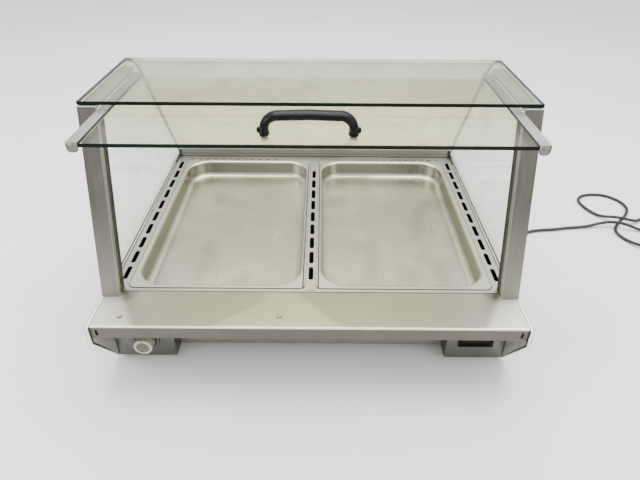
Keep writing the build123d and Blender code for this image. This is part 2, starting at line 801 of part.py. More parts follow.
for hand, name in ((-1, "left"), (1, "right")):
    with BuildPart() as rail:
        with BuildSketch(Plane.XZ.offset(-flap_front_y)):
            Polygon(
                [
                    (hand * rail_inner_x, rail_top_z),
                    (hand * rail_outer_x, rail_top_z),
                    (hand * rail_outer_x, rail_bottom_z),
                    (hand * (rail_outer_x - rail_foot), rail_bottom_z),
                    (hand * (rail_outer_x - rail_foot), rail_bottom_z + sheet),
                    (hand * (rail_outer_x - sheet), rail_bottom_z + sheet),
                    (hand * (rail_outer_x - sheet), rail_top_z - sheet),
                    (hand * rail_inner_x, rail_top_z - sheet),
                ]
            )
        extrude(amount=-(flap_length + flap_tail))
        with Locations((hand * (rail_outer_x - rail_foot / 2 - sheet), flap_front_y, rail_bottom_z)):
            Box(rail_foot, 2 * (rail_tip_radius + 5), 2 * sheet, mode=Mode.SUBTRACT)
        tip = rail.edges().filter_by(Axis.X).group_by(Axis.Y)[0].sort_by(Axis.Z)[0]
        fillet(tip, rail_tip_radius)
        crown = rail.edges().filter_by(Axis.Y).group_by(Axis.Z)[-1]
        fillet(crown.sort_by(Axis.X)[0 if hand < 0 else -1], 1.2)
        with BuildSketch(Plane.YZ.offset(hand * (rail_outer_x - sheet - 1))):
            with Locations((pin_y, pin_z)):
                Circle(pin_diameter / 2 + pin_clearance)
        extrude(amount=hand * (sheet + 2), mode=Mode.SUBTRACT)
    finish(rail.part, f"flap_rail_{name}")

    with BuildPart() as block:
        low_z = rail_bottom_z + sheet
        high_z = rail_top_z - sheet
        block_back_y = pin_y + flap_tail
        block_y = (glass_back_y + 0.5 + block_back_y) / 2
        with Locations((hand * (rail_outer_x - sheet - 5.5), block_y, (low_z + high_z) / 2)):
            Box(11, block_back_y - glass_back_y - 0.5, high_z - low_z)
        with BuildSketch(Plane.YZ.offset(hand * (rail_outer_x - sheet - 12))):
            with Locations((pin_y, pin_z)):
                Circle(pin_diameter / 2 + pin_clearance)
        extrude(amount=hand * 13, mode=Mode.SUBTRACT)
    finish(block.part, f"flap_block_{name}")

    with BuildPart() as pin:
        with BuildSketch(Plane.YZ.offset(hand * (rail_outer_x - sheet - 10))):
            with Locations((pin_y, pin_z)):
                Circle(pin_diameter / 2)
        extrude(amount=hand * (10 + sheet + flap_side_gap + roller_width + 1))
        with BuildSketch(Plane.YZ.offset(hand * (post_inner_x + roller_width - 1.5))):
            with Locations((pin_y, pin_z)):
                Circle(pin_diameter / 2 + 1.2)
        extrude(amount=hand * 1.2)
    finish(pin.part, f"flap_pin_{name}")

with BuildPart() as flap_rollers:
    for hand in (-1, 1):
        with BuildSketch(Plane.YZ.offset(hand * (post_inner_x - 1.2))):
            with Locations((pin_y, pin_z)):
                Circle(roller_diameter / 2)
                Circle(pin_diameter / 2, mode=Mode.SUBTRACT)
        extrude(amount=hand * (roller_width - 0.4))
finish(flap_rollers.part, "flap_rollers")

# Bow handle of oval section, and its screws

handle_y = flap_front_y + handle_set_back
handle_x = handle_spacing / 2
grip_z = flap_glass_top_z + handle_height - handle_thickness / 2
with BuildPart() as flap_handle:
    with BuildLine() as bow:
        FilletPolyline(
            (-handle_x, handle_y, flap_glass_top_z),
            (-handle_x, handle_y, grip_z - 1),
            (0, handle_y, grip_z + 1),
            (handle_x, handle_y, grip_z - 1),
            (handle_x, handle_y, flap_glass_top_z),
            radius=(handle_bend, handle_spacing, handle_bend),
        )
    with BuildSketch(Plane.XY.offset(flap_glass_top_z)):
        with Locations((-handle_x, handle_y)):
            Ellipse(handle_thickness / 2, handle_depth / 2)
    sweep(path=bow.line)
    with BuildSketch(Plane.XY.offset(flap_glass_top_z)):
        with Locations((-handle_x, handle_y), (handle_x, handle_y)):
            Ellipse(handle_thickness / 2 + handle_foot_rim, handle_depth / 2 + handle_foot_rim)
    extrude(amount=handle_foot_height, taper=8)
    for hand in (-1, 1):
        with BuildSketch(Plane.YZ.offset(hand * handle_x)):
            with Locations((handle_y, flap_glass_top_z + handle_boss_height)):
                Circle(handle_boss_diameter / 2)
        extrude(amount=hand * (handle_thickness / 2 + handle_boss_length))
        boss_end = flap_handle.faces().filter_by(Plane.YZ).sort_by(Axis.X)[0 if hand < 0 else -1]
        fillet(boss_end.edges(), handle_boss_length / 2)
    with BuildSketch(Plane.XY.offset(flap_glass_top_z)):
        with Locations((-handle_x, handle_y), (handle_x, handle_y)):
            Circle(handle_screw / 2)
    extrude(amount=14, mode=Mode.SUBTRACT)
finish(flap_handle.part, "flap_handle")

with BuildPart() as handle_screws:
    under_z = flap_glass_top_z - flap_glass
    with BuildSketch(Plane.XY.offset(under_z - 3.5)):
        with Locations((-handle_x, handle_y), (handle_x, handle_y)):
            Circle(5.5)
    extrude(amount=3.5)
    with BuildSketch(Plane.XY.offset(under_z)):
        with Locations((-handle_x, handle_y), (handle_x, handle_y)):
            Circle(handle_screw / 2)
    extrude(amount=flap_glass + 12)
    fillet(handle_screws.faces().sort_by(Axis.Z)[:2].edges(), 1.2)
finish(handle_screws.part, "handle_screws")

# Thermostat: knob on its shaft, bezel ring on the box, switch body and sensing bulb behind

ring_y = box_y - bezel_ring_height
knob_back_y = ring_y - knob_gap
with BuildPart() as bezel_ring:
    with BuildSketch(Plane.XZ.offset(-box_y)):
        with Locations((knob_x, knob_z)):
            Circle(bezel_ring_diameter / 2)
            Circle(7, mode=Mode.SUBTRACT)
    extrude(amount=bezel_ring_height)
    fillet(bezel_ring.faces().sort_by(Axis.Y)[0].edges().sort_by(SortBy.LENGTH)[-1], 1.2)
finish(bezel_ring.part, "knob_bezel")

with BuildPart() as knob:
    with BuildSketch(Plane.XZ.offset(-knob_back_y)):
        with Locations((knob_x, knob_z)):
            Circle(knob_diameter / 2)
    extrude(amount=knob_height, taper=3)
    face_edge = knob.faces().sort_by(Axis.Y)[0].edges()
    fillet(face_edge, 2)
    with BuildSketch(Plane.XZ.offset(-knob_back_y)):
        with Locations((knob_x, knob_z)):
            with PolarLocations(knob_diameter / 2 + 0.4, knob_ribs):
                Circle(1.5)
    extrude(amount=knob_height - 4, mode=Mode.SUBTRACT)
    with BuildSketch(Plane.XZ.offset(-(knob_back_y - knob_height))):
        with Locations((knob_x, knob_z)):
            Circle(9)
    extrude(amount=-1.5, mode=Mode.SUBTRACT)
    with BuildSketch(Plane.XZ.offset(-knob_back_y)):
        with Locations((knob_x, knob_z)):
            Circle(shaft_diameter / 2)
    extrude(amount=12, mode=Mode.SUBTRACT)
finish(knob.part, "thermostat_knob")

with BuildPart() as knob_shaft:
    with BuildSketch(Plane.XZ.offset(-(body_front_y + 8))):
        with Locations((knob_x, knob_z)):
            Circle(shaft_diameter / 2)
    extrude(amount=body_front_y + 8 - knob_back_y + 11.5)
finish(knob_shaft.part, "knob_shaft")

with BuildPart() as thermostat_body:
    with Locations((knob_x, body_front_y + body_depth / 2, knob_z)):
        Box(body_width, body_depth, body_height)
    fillet(thermostat_body.edges().filter_by(Axis.Y), 3)
    with BuildSketch(Plane.XZ.offset(-body_front_y)):
        with Locations((knob_x, knob_z)):
            Circle(5)
    extrude(amount=4.2 + bezel_ring_height)
    with BuildSketch(Plane.XZ.offset(-(body_front_y + 9))):
        with Locations((knob_x, knob_z)):
            Circle(shaft_diameter / 2 + pin_clearance)
    extrude(amount=18, mode=Mode.SUBTRACT)
    with Locations((knob_x, body_front_y + body_depth + 4, knob_z - 6)):
        with GridLocations(12, 0, 3, 1):
            Box(6.3, 9, 0.8)
finish(thermostat_body.part, "thermostat_body")

bulb_z = tank_z + tank_wall + 4
body_back_y = body_front_y + body_depth
capillary_start = (bulb_x, body_back_y, knob_z + 10)
with BuildPart() as thermostat_bulb:
    with BuildLine() as capillary:
        FilletPolyline(
            capillary_start,
            (bulb_x, capillary_y, knob_z + 10),
            (bulb_x, capillary_y, bulb_z),
            (bulb_x, capillary_y + 24, bulb_z),
            radius=6,
        )
    with BuildSketch(Plane(origin=capillary_start, z_dir=(0, 1, 0))):
        Circle(capillary_diameter / 2)
    sweep(path=capillary.line)
    with BuildSketch(Plane.XZ.offset(-(capillary_y + 24))):
        with Locations((bulb_x, bulb_z)):
            Circle(3)
    extrude(amount=-80)
finish(thermostat_bulb.part, "thermostat_bulb")

# Thermometer display

bezel_front_y = box_y - display_depth
with BuildPart() as display_bezel:
    with BuildSketch(Plane.XZ.offset(-box_y)):
        with Locations((display_x, display_z)):
            RectangleRounded(display_width, display_height, 2)
            Rectangle(window_width, window_height, mode=Mode.SUBTRACT)
    extrude(amount=display_depth)
    fillet(display_bezel.faces().sort_by(Axis.Y)[0].outer_wire().edges(), 1)
finish(display_bezel.part, "display_bezel")

with BuildPart() as display_window:
    with BuildSketch(Plane.XZ.offset(-box_y)):
        with Locations((display_x, display_z)):
            Rectangle(window_width, window_height)
    extrude(amount=display_depth - 1)
finish(display_window.part, "display_window")

with BuildPart() as display_controller:
    with BuildSketch(Plane.XZ.offset(-box_y)):
        with Locations((display_x, display_z)):
            RectangleRounded(display_width - 4, display_height - 5, 1)
    extrude(amount=-controller_depth)
    with BuildSketch(Plane.XZ.offset(-(box_y + controller_depth))):
        with Locations((display_x, display_z)):
            with GridLocations(7, 0, 6, 1):
                Rectangle(5, 9)
    extrude(amount=-4)
finish(display_controller.part, "display_controller")

# Terminal block on the bottom cover, beside the mains inlet

terminal_at = (side_x - gland_inset, back_y - terminal_set_back, base_z + thin_sheet)
with BuildPart() as terminal_block:
    with Locations(terminal_at):
        Box(
            terminal_length,
            terminal_width,
            terminal_height,
            align=(Align.CENTER, Align.CENTER, Align.MIN),
        )
    with BuildSketch(Plane.XY.offset(terminal_at[2] + terminal_height)):
        with Locations(terminal_at[:2]):
            with GridLocations(terminal_pitch, terminal_pitch, 6, 2):
                Circle(2.5)
    extrude(amount=-6, mode=Mode.SUBTRACT)
finish(terminal_block.part, "terminal_block")

# Shelf screws

with BuildPart() as shelf_screws:
    with BuildSketch(Plane.XY.offset(deck_z)):
        side_screw = (-side_x + side_screw_inset, lip_y + side_screw_back)
        middle_screw = (-middle_screw_offset, lip_y + middle_screw_back)
        for place in (side_screw, middle_screw):
            with Locations(place):
                Circle(3)
    extrude(amount=1.2, taper=20)
finish(shelf_screws.part, "shelf_screws")

# Cable gland

gland_at = (side_x - gland_inset, back_y, base_z + gland_height)
with BuildPart() as cable_gland:
    with BuildSketch(Plane.XZ.offset(-(back_y - thin_sheet - 5))):
        with Locations((gland_at[0], gland_at[2])):
            Circle(10)
    extrude(amount=-(thin_sheet + 5))
    with BuildSketch(Plane.XZ.offset(-back_y)):
        with Locations((gland_at[0], gland_at[2])):
            RegularPolygon(gland_diameter / 2, 6)
    extrude(amount=-8)
    with BuildSketch(Plane.XZ.offset(-(back_y + 8))):
        with Locations((gland_at[0], gland_at[2])):
            Circle(gland_diameter / 2 - 1.5)
    extrude(amount=-(gland_length - 8), taper=12)
    with BuildSketch(Plane.XZ.offset(-(back_y - thin_sheet))):
        with Locations((gland_at[0], gland_at[2])):
            RegularPolygon(gland_diameter / 2, 6)
    extrude(amount=4)
finish(cable_gland.part, "cable_gland")

# Mains lead, lying on the ground, and its plug

ground_z = lead_diameter / 2
hump_z = 2 * lead_diameter
lead_route = [
    (gland_at[0], back_y + gland_length, gland_at[2]),
    (gland_at[0], back_y + gland_length + 26, gland_at[2]),
    (321, 430, 30),
    (334, 455, 16),
    (358, 470, 6),
    (386, 468, ground_z),
    (408, 450, ground_z),
    (417, 424, ground_z),
    (413, 388, ground_z),
    (408, 340, ground_z),
    (400, 255, ground_z),
    (404, 170, ground_z),
    (398, 105, ground_z),
    (392, 55, ground_z),
    (394, 17, ground_z),
    (404, -8, ground_z),
    (425, -24, ground_z),
    (452, -26, ground_z),
    (476, -13, ground_z),
    (489, 10, ground_z),
    (495, 58, ground_z),
    (512, 115, ground_z),
    (545, 157, ground_z),
    (590, 175, ground_z),
    (639, 179, ground_z),
    (680, 188, ground_z),
    (733, 194, ground_z),
    (775, 202, hump_z - 4),
    (807, 201, hump_z),
    (837, 190, hump_z - 1),
    (872, 176, ground_z),
    (926, 152, ground_z),
    (980, 154, ground_z),
    (1014, 192, ground_z),
    (1006, 240, ground_z),
    (963, 264, ground_z),
    (914, 244, ground_z),
    (880, 220, ground_z + 2),
    (852, 216, hump_z - 2),
    (824, 226, hump_z),
    (791, 247, ground_z),
    (769, 290, ground_z),
    (764, 334, ground_z),
    (786, 362, ground_z),
    (825, 372, ground_z),
    (861, 364, ground_z),
    (884, 338, ground_z),
    (892, 306, ground_z),
    (883, 276, ground_z),
    (863, 250, ground_z),
    (832, 218, ground_z),
    (808, 190, ground_z),
    (801, 166, ground_z),
    (806, 142, ground_z),
    (818, 121, ground_z + 1),
    (833, 100, ground_z + 5),
    (848, 79, plug_z),
    (862, 58, plug_z),
]
lead_points = [Vector(*p) for p in lead_route]
lead_radii = []
for a, b, c in zip(lead_points, lead_points[1:], lead_points[2:]):
    turn = radians((b - a).get_angle(c - b))
    lead_radii.append(0.45 * min((b - a).length, (c - b).length) / tan(turn / 2))
with BuildPart() as mains_lead:
    with BuildLine() as lead_path:
        FilletPolyline(*lead_route, radius=lead_radii)
    with BuildSketch(Plane(origin=lead_route[0], z_dir=lead_points[1] - lead_points[0])):
        Circle(lead_diameter / 2)
    sweep(path=lead_path.line)
finish(mains_lead.part, "mains_lead")
lead_length = lead_path.wires()[0].length
print("lead length", round(lead_length), "bends", [round(r) for r in lead_radii])
print("lead volume", round(mains_lead.part.volume), "expected", round(lead_length * pi * lead_diameter**2 / 4))

plug_way = (lead_points[-1] - lead_points[-2]).normalized()
plug_face = lead_points[-1] + plug_way * (plug_sleeve + plug_body_length)
with BuildPart() as plug_body:
    with BuildSketch(Plane(origin=lead_points[-1], z_dir=plug_way)):
        Circle(lead_diameter / 2 + 1)
    with BuildSketch(Plane(origin=lead_points[-1] + plug_way * plug_sleeve, z_dir=plug_way)):
        Circle(plug_diameter / 2 - 7)
    loft()
    with BuildSketch(Plane(origin=lead_points[-1] + plug_way * plug_sleeve, z_dir=plug_way)):
        Circle(plug_diameter / 2 - 3)
    with BuildSketch(Plane(origin=lead_points[-1] + plug_way * (plug_sleeve + 18), z_dir=plug_way)):
        Circle(plug_diameter / 2)
    loft()
    with BuildSketch(Plane(origin=lead_points[-1] + plug_way * (plug_sleeve + 18), z_dir=plug_way)):
        Circle(plug_diameter / 2)
    extrude(amount=plug_body_length - 18)
finish(plug_body.part, "plug_body")

with BuildPart() as plug_pins:
    with BuildSketch(Plane(origin=plug_face, x_dir=(0, 0, 1), z_dir=plug_way)):
        with GridLocations(0, plug_pin_spacing, 1, 2):
            Circle(plug_pin_diameter / 2)
    extrude(amount=plug_pin_length)
    flat_ends = plug_pins.faces().filter_by(GeomType.PLANE)
    chamfer(flat_ends.sort_by(lambda f: (f.center() - plug_face).dot(plug_way))[-2:].edges(), 1)
finish(plug_pins.part, "plug_pins")
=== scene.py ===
from math import cos, pi, radians, sin, tan

import bmesh
import bpy
from mathutils import Matrix, Vector


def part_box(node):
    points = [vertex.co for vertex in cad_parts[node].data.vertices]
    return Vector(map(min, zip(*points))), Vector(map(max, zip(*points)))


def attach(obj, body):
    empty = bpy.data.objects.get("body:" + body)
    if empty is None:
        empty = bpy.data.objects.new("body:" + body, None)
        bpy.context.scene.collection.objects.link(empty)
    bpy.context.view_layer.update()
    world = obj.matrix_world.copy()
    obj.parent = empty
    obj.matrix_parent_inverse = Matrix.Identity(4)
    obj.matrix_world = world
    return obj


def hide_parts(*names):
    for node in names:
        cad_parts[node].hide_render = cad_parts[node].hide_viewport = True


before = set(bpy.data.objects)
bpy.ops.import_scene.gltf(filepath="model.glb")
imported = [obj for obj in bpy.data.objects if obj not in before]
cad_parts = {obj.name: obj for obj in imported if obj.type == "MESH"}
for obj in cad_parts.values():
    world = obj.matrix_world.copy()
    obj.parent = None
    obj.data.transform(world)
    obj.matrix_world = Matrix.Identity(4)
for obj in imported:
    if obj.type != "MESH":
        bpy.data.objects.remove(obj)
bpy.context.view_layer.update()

# Room: a pale sweep of floor, soft lamps overhead and the operator's view of the case.
# The eye stands in front of the operator's side, a metre away, and looks down over the flap.

eye = Vector((0.0187, -0.9837, 0.7678))
look_down = 0.6045
look_left = 0.0023
tilt = 0.0058
focal_length = 29.27

forward = Vector((-sin(look_left) * cos(look_down), cos(look_left) * cos(look_down), -sin(look_down)))
level = Vector((cos(look_left), sin(look_left), 0))
right = cos(tilt) * level + sin(tilt) * level.cross(forward)
lens = bpy.data.cameras.new("operator_view")
lens.lens = focal_length
lens.sensor_width = 36
camera = bpy.data.objects.new("operator_view", lens)
bpy.context.collection.objects.link(camera)
turn = Matrix((right, right.cross(forward), -forward)).transposed().to_4x4()
camera.matrix_world = Matrix.Translation(eye) @ turn
bpy.context.scene.camera = camera


def soft_lamp(name, at, towards, size, watts, colour=(1, 1, 1)):
    """A rectangular soft lamp that faces a point."""
    lamp = bpy.data.lights.new(name, "AREA")
    lamp.shape = "RECTANGLE"
    lamp.size, lamp.size_y = size
    lamp.energy = watts
    lamp.color = colour
    holder = bpy.data.objects.new(name, lamp)
    holder.location = at
    holder.rotation_euler = (Vector(towards) - Vector(at)).to_track_quat("-Z", "Y").to_euler()
    bpy.context.collection.objects.link(holder)


soft_lamp("ceiling_lamp", (0.2, 0.5, 2.6), (0, 0, 0.3), (2.6, 2.2), 125)
soft_lamp("window_lamp", (-2.4, -1.0, 1.7), (0, 0, 0.3), (1.8, 1.4), 50, (0.97, 0.98, 1.0))
soft_lamp("fill_lamp", (2.2, -1.6, 1.5), (0, 0, 0.2), (1.6, 1.2), 28, (1.0, 0.98, 0.95))


class Wire:
    """A socket of a finish's nodes. Sums, products and powers of wires add the Math nodes they need."""

    def __init__(self, tree, socket):
        self.tree = tree
        self.socket = socket

    def node(self, kind, settings=None, sockets=None, out=0):
        """Adds a node: first its settings, a ramp's stops among them, then its sockets' values or wires."""
        made = self.tree.nodes.new("ShaderNode" + kind)
        for name, value in (settings or {}).items():
            if name == "stops":
                ramp = made.color_ramp.elements
                while len(ramp) < len(value):
                    ramp.new(0.5)
                for stop, (place, colour) in zip(ramp, value):
                    stop.position = place
                    stop.color = (*colour, 1)
            else:
                setattr(made, name, value)
        for name, value in (sockets or {}).items():
            if isinstance(value, Wire):
                self.tree.links.new(value.socket, made.inputs[name])
            else:
                made.inputs[name].default_value = value
        return Wire(self.tree, made.outputs[out])

    def maths(self, operation, first, second=0.0):
        return self.node("Math", {"operation": operation}, {0: first, 1: second})

    def __add__(self, other):
        return self.maths("ADD", self, other)

    __radd__ = __add__

    def __sub__(self, other):
        return self.maths("SUBTRACT", self, other)

    def __rsub__(self, other):
        return self.maths("SUBTRACT", other, self)

    def __mul__(self, other):
        return self.maths("MULTIPLY", self, other)

    __rmul__ = __mul__

    def __pow__(self, other):
        return self.maths("POWER", self, other)

    def stretched(self, x, y, z):
        """This place, with each direction scaled by its own factor."""
        return self.node("VectorMath", {"operation": "MULTIPLY"}, {0: self, 1: (x, y, z)})

    def noise(self, scale, detail=3.0, rough=0.5):
        """Cloudy noise from 0 to 1 at this place, with its patches about 1 / scale metres wide."""
        sockets = {"Vector": self, "Scale": scale, "Detail": detail, "Roughness": rough}
        return self.node("TexNoise", {}, sockets)

    def ramp(self, *stops):
        """This value read through a colour ramp."""
        return self.node("ValToRGB", {"stops": stops}, {"Fac": self})

    def mask(self, low, high):
        """0 below low and 1 above high."""
        sockets = {"Value": self, "From Min": low, "From Max": high}
        return self.node("MapRange", {"clamp": True}, sockets)

    def blend(self, under, over):
        """The colour under where this value is 0 and over where it is 1."""
        sides = {6: under, 7: over}
        sides = {k: v if isinstance(v, Wire) else (*v, 1) for k, v in sides.items()}
        return self.node("Mix", {"data_type": "RGBA"}, {0: self, **sides}, out=2)

    def axis(self, name):
        """One coordinate of this place."""
        return self.node("SeparateXYZ", {}, {"Vector": self}, out="XYZ".index(name))

    def bump(self, height, strength=0.3):
        """A normal from this height, which is counted in metres times height."""
        return self.node("Bump", {}, {"Height": self, "Distance": height, "Strength": strength})


def new_finish(name):
    """A finish to fill in: the material, the place on the piece in metres, and the surface shader."""
    material = bpy.data.materials.new(name)
    material.use_nodes = True
    tree = material.node_tree
    place = Wire(tree, tree.nodes.new("ShaderNodeTexCoord").outputs["Object"])
    return material, place, tree.nodes["Principled BSDF"]


def paint(surface, sockets):
    """Sets the surface shader's sockets to values or wires."""
    for name, value in sockets.items():
        if isinstance(value, Wire):
            value.tree.links.new(value.socket, surface.inputs[name])
        else:
            surface.inputs[name].default_value = value


def piece_from(name, bm, finish, body, smooth=True):
    """Makes a piece of a bmesh, gives it a finish and lets it ride on a body."""
    mesh = bpy.data.meshes.new(name)
    bm.normal_update()
    bm.to_mesh(mesh)
    bm.free()
    for face in mesh.polygons:
        face.use_smooth = smooth
    made = bpy.data.objects.new(name, mesh)
    bpy.context.collection.objects.link(made)
    mesh.materials.append(finish)
    if body:
        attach(made, body)
    return made


daylight = bpy.data.worlds.new("daylight")
daylight.use_nodes = True
sky_tree = daylight.node_tree
sky = sky_tree.nodes["Background"]
sky.inputs["Color"].default_value = (0.96, 0.98, 1.0, 1)
way_up = Wire(sky_tree, sky_tree.nodes.new("ShaderNodeTexCoord").outputs["Generated"]).axis("Z")
sky_tree.links.new((way_up.mask(0.0, 0.7) * 1.15 + 0.55).socket, sky.inputs["Strength"])
bpy.context.scene.world = daylight

floor_reach = 9
floor_drop = 0.0005
floor_finish, place, surface = new_finish("pale_floor")
cloud = place.noise(3.0, 5.0)
paint(
    surface,
    {"Base Color": cloud.ramp((0.3, (0.77, 0.765, 0.75)), (0.7, (0.82, 0.815, 0.80))), "Roughness": 0.75},
)
bm = bmesh.new()
bmesh.ops.create_grid(bm, x_segments=4, y_segments=4, size=floor_reach)
floor = piece_from("floor", bm, floor_finish, None)
floor.location.z = -floor_drop

# Base: bottom cover, front apron, rear panel and two side panels of folded stainless sheet.
# The side panels stand outside the rest and carry it; the sheet is brushed and long in use.


def steel(name, colour, grain, grain_scale=900, rough=0.3, stain=0.25, dull=(0.30, 0.26, 0.21), blotch=9.0):
    """Brushed stainless steel: grain is the direction of the brushing, stain how much of it is soiled."""
    material, place, surface = new_finish(name)
    along_grain = 0.012
    squeeze = [along_grain if k == grain else 1.0 for k in "XYZ"]
    brushing = place.stretched(*squeeze).noise(grain_scale, 4.0, 0.65)
    streak = place.stretched(*squeeze).noise(grain_scale / 7, 3.0, 0.6)
    smudge = place.noise(blotch, 6.0, 0.62)
    spots = place.noise(blotch * 9, 3.0, 0.7)
    soil = smudge.mask(0.56, 0.80) * stain + spots.mask(0.66, 0.74) * (stain * 0.35)
    bright = tuple(min(1.0, c * 1.14) for c in colour)
    dark = tuple(c * 0.84 for c in colour)
    metal = (brushing * 0.55 + streak * 0.45).ramp((0.30, dark), (0.5, colour), (0.72, bright))
    smear = place.stretched(1, 1, 0.5).noise(blotch / 3, 4.0, 0.55)
    paint(
        surface,
        {
            "Base Color": soil.blend(metal, dull),
            "Metallic": 1.0 - soil * 0.55,
            "Roughness": rough + brushing * 0.10 + soil * 0.35 + smear.mask(0.4, 0.75) * 0.12,
            "Normal": (brushing * 0.6 + smear * 0.4).bump(0.0004, 0.25),
        },
    )
    return material


def give(finish, *nodes):
    """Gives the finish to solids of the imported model."""
    for node in nodes:
        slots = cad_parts[node].data.materials
        slots.clear()
        slots.append(finish)


panel_steel = steel("panel_steel", (0.34, 0.33, 0.295), "Y", rough=0.33, stain=0.35)
plain_steel = steel("plain_steel", (0.36, 0.35, 0.315), "X", rough=0.36, stain=0.45)
give(panel_steel, "side_panel_left", "side_panel_right")
give(plain_steel, "bottom_cover", "front_apron", "rear_panel")

foot_rubber, place, surface = new_finish("foot_rubber")
dust = place.noise(160, 4.0)
paint(
    surface,
    {
        "Base Color": dust.mask(0.5, 0.75).blend((0.018, 0.018, 0.018), (0.09, 0.085, 0.08)),
        "Roughness": 0.62 + dust * 0.2,
        "Normal": place.noise(1800, 2.0).bump(0.0003, 0.3),
    },
)
give(foot_rubber, "feet")

# Fasteners of the covers: pan-head screws with a cross recess, five along each side panel's foot
# and two rows across the rear panel. They are plated steel, pressed flat against the sheet.

screw_radius = 0.0036
screw_points = 20
screw_steel = steel("screw_steel", (0.48, 0.47, 0.45), "X", 3000, rough=0.28, stain=0.5, blotch=60)


def screw_head(bm, at, out):
    """Adds one pan head, turned about the direction out, with a cross cut into it."""
    turn = out.to_track_quat("Z", "Y").to_matrix().to_4x4()
    profile = [(1.0, 0.0), (1.0, 0.18), (0.88, 0.42), (0.62, 0.58), (0.34, 0.63), (0.0, 0.64)]
    rings = []
    for reach, height in profile:
        count = screw_points if reach else 1
        ring = []
        for k in range(count):
            a = 2 * pi * k / count
            cut = 0.26 if reach in (0.34, 0.0) else (0.20 if reach == 0.62 and k % 5 == 0 else 0.0)
            flat = Vector((reach * cos(a), reach * sin(a), height - cut)) * screw_radius
            ring.append(bm.verts.new(at + turn @ flat))
        rings.append(ring)
    for low, high in zip(rings, rings[1:]):
        for k in range(screw_points):
            after = (k + 1) % screw_points
            if len(high) == 1:
                bm.faces.new((low[k], low[after], high[0]))
            else:
                bm.faces.new((low[k], low[after], high[after], high[k]))


rear_count, side_count = 6, 5
rear_inset = 0.020
side_front, side_back = 0.120, 0.030
rear_rows = (0.010, 0.030)
side_rise = 0.014
low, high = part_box("rear_panel")
bm = bmesh.new()
for k in range(rear_count):
    x = low.x + rear_inset + (high.x - low.x - 2 * rear_inset) * k / (rear_count - 1)
    for z in (low.z + rear_rows[0], high.z - rear_rows[1]):
        screw_head(bm, Vector((x, high.y, z)), Vector((0, 1, 0)))
for hand, node in ((-1, "side_panel_left"), (1, "side_panel_right")):
    low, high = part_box(node)
    side = low.x if hand < 0 else high.x
    for k in range(side_count):
        y = low.y + side_front + (high.y - low.y - side_front - side_back) * k / (side_count - 1)
        screw_head(bm, Vector((side, y, low.z + side_rise)), Vector((hand, 0, 0)))
cover_screws = piece_from("cover_screws", bm, screw_steel, "case")

# Operator shelf: one sheet folded down over the front as a lip. Water marks and grease have dulled its top;
# two screws hold it down. A highlight is painted along the front bend and on each outer front corner, and
# the lip's face is painted darker as shade.

shelf_low, shelf_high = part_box("front_shelf")
shelf_steel, place, surface = new_finish("shelf_steel")
grain = place.stretched(0.012, 1, 1).noise(1100, 4.0, 0.65)
cloud = place.noise(7, 4.0, 0.5)
marks = place.noise(15, 7.0, 0.62)
splash = place.stretched(1, 1.6, 1).noise(48, 4.0, 0.7)
height = place.axis("Z")
# The lip's face is painted darker than the top: shade on the folded-down front.
lip = 1.0 - height.mask(shelf_high.z - 0.0035, shelf_high.z - 0.0015)
front_edge = 1.0 - place.axis("Y").mask(shelf_low.y + 0.0022, shelf_low.y + 0.0034)
# Painted highlight: a near-white line along the front bend.
bend_highlight = height.mask(shelf_high.z - 0.0032, shelf_high.z - 0.0018) * front_edge
soil = marks.mask(0.52, 0.76) * 0.40 + splash.mask(0.64, 0.72) * 0.30
brushed = grain * 0.6 + cloud * 0.4
metal = brushed.ramp((0.3, (0.37, 0.352, 0.295)), (0.5, (0.43, 0.412, 0.352)), (0.72, (0.50, 0.482, 0.42)))
aside = place.maths("ABSOLUTE", place.axis("X"))
patch = place.noise(5, 1.0, 0.3).mask(0.47, 0.50)
metal = (patch * 0.6 * (1.0 - aside.mask(0.24, 0.30))).blend(metal, (0.27, 0.262, 0.225))

# Painted highlight: a pale patch with a sharp diagonal edge in each outer front corner.
highlight_corner_x, highlight_corner_y = 0.343, -0.262
corner_highlight = aside - highlight_corner_x + (highlight_corner_y - place.axis("Y")) * 0.5
metal = (corner_highlight.mask(-0.006, 0.006) * 0.7).blend(metal, (0.86, 0.83, 0.76))
post_foot = (0.334, 0.262, shelf_high.z)
mirrored = place.node("VectorMath", {"operation": "ABSOLUTE"}, {0: place})
from_foot = mirrored.node("VectorMath", {"operation": "DISTANCE"}, {0: mirrored, 1: post_foot}, out=1)
foot_smudge = (1.0 - from_foot.mask(0.003, 0.026)) * marks.mask(0.30, 0.55)
metal = (foot_smudge * 0.85).blend(metal, (0.07, 0.066, 0.055))
# Painted shade on the lip's face.
metal = lip.blend(metal, (0.118, 0.114, 0.098))
metal = (soil * (1.0 - lip * 0.6)).blend(metal, (0.36, 0.31, 0.24))
paint(
    surface,
    {
        "Base Color": (bend_highlight * 0.9).blend(metal, (0.93, 0.92, 0.88)),
        "Metallic": 0.92 - soil * 0.45 - bend_highlight * 0.3,
        "Roughness": 0.36 + grain * 0.12 + soil * 0.25,
        "Normal": (grain * 0.5 + marks * 0.5).bump(0.0005, 0.22),
    },
)
give(shelf_steel, "front_shelf")
give(screw_steel, "shelf_screws")

# Joints at the back of the shelf: a bead of black sealing compound between shelf and deck, and grime
# round two screws. Dark lines round the pans' rims and beside the bar are painted shadow in the gaps
# under the rims, and a dark plate behind each of the lip's slots is painted shade for the dark inside.

bead_sides = 6
bead_height = 0.0004
joint_width = 0.0022
rim_shadow_width = 0.0018
deck_low, deck_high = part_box("pan_deck")
seal_black, place, surface = new_finish("seal_black")
rubbed = place.noise(220, 3.0)
paint(
    surface,
    {
        "Base Color": rubbed.ramp((0.35, (0.012, 0.012, 0.012)), (0.75, (0.05, 0.047, 0.043))),
        "Roughness": 0.5,
        "Normal": place.noise(900, 3.0).bump(0.0003, 0.35),
    },
)


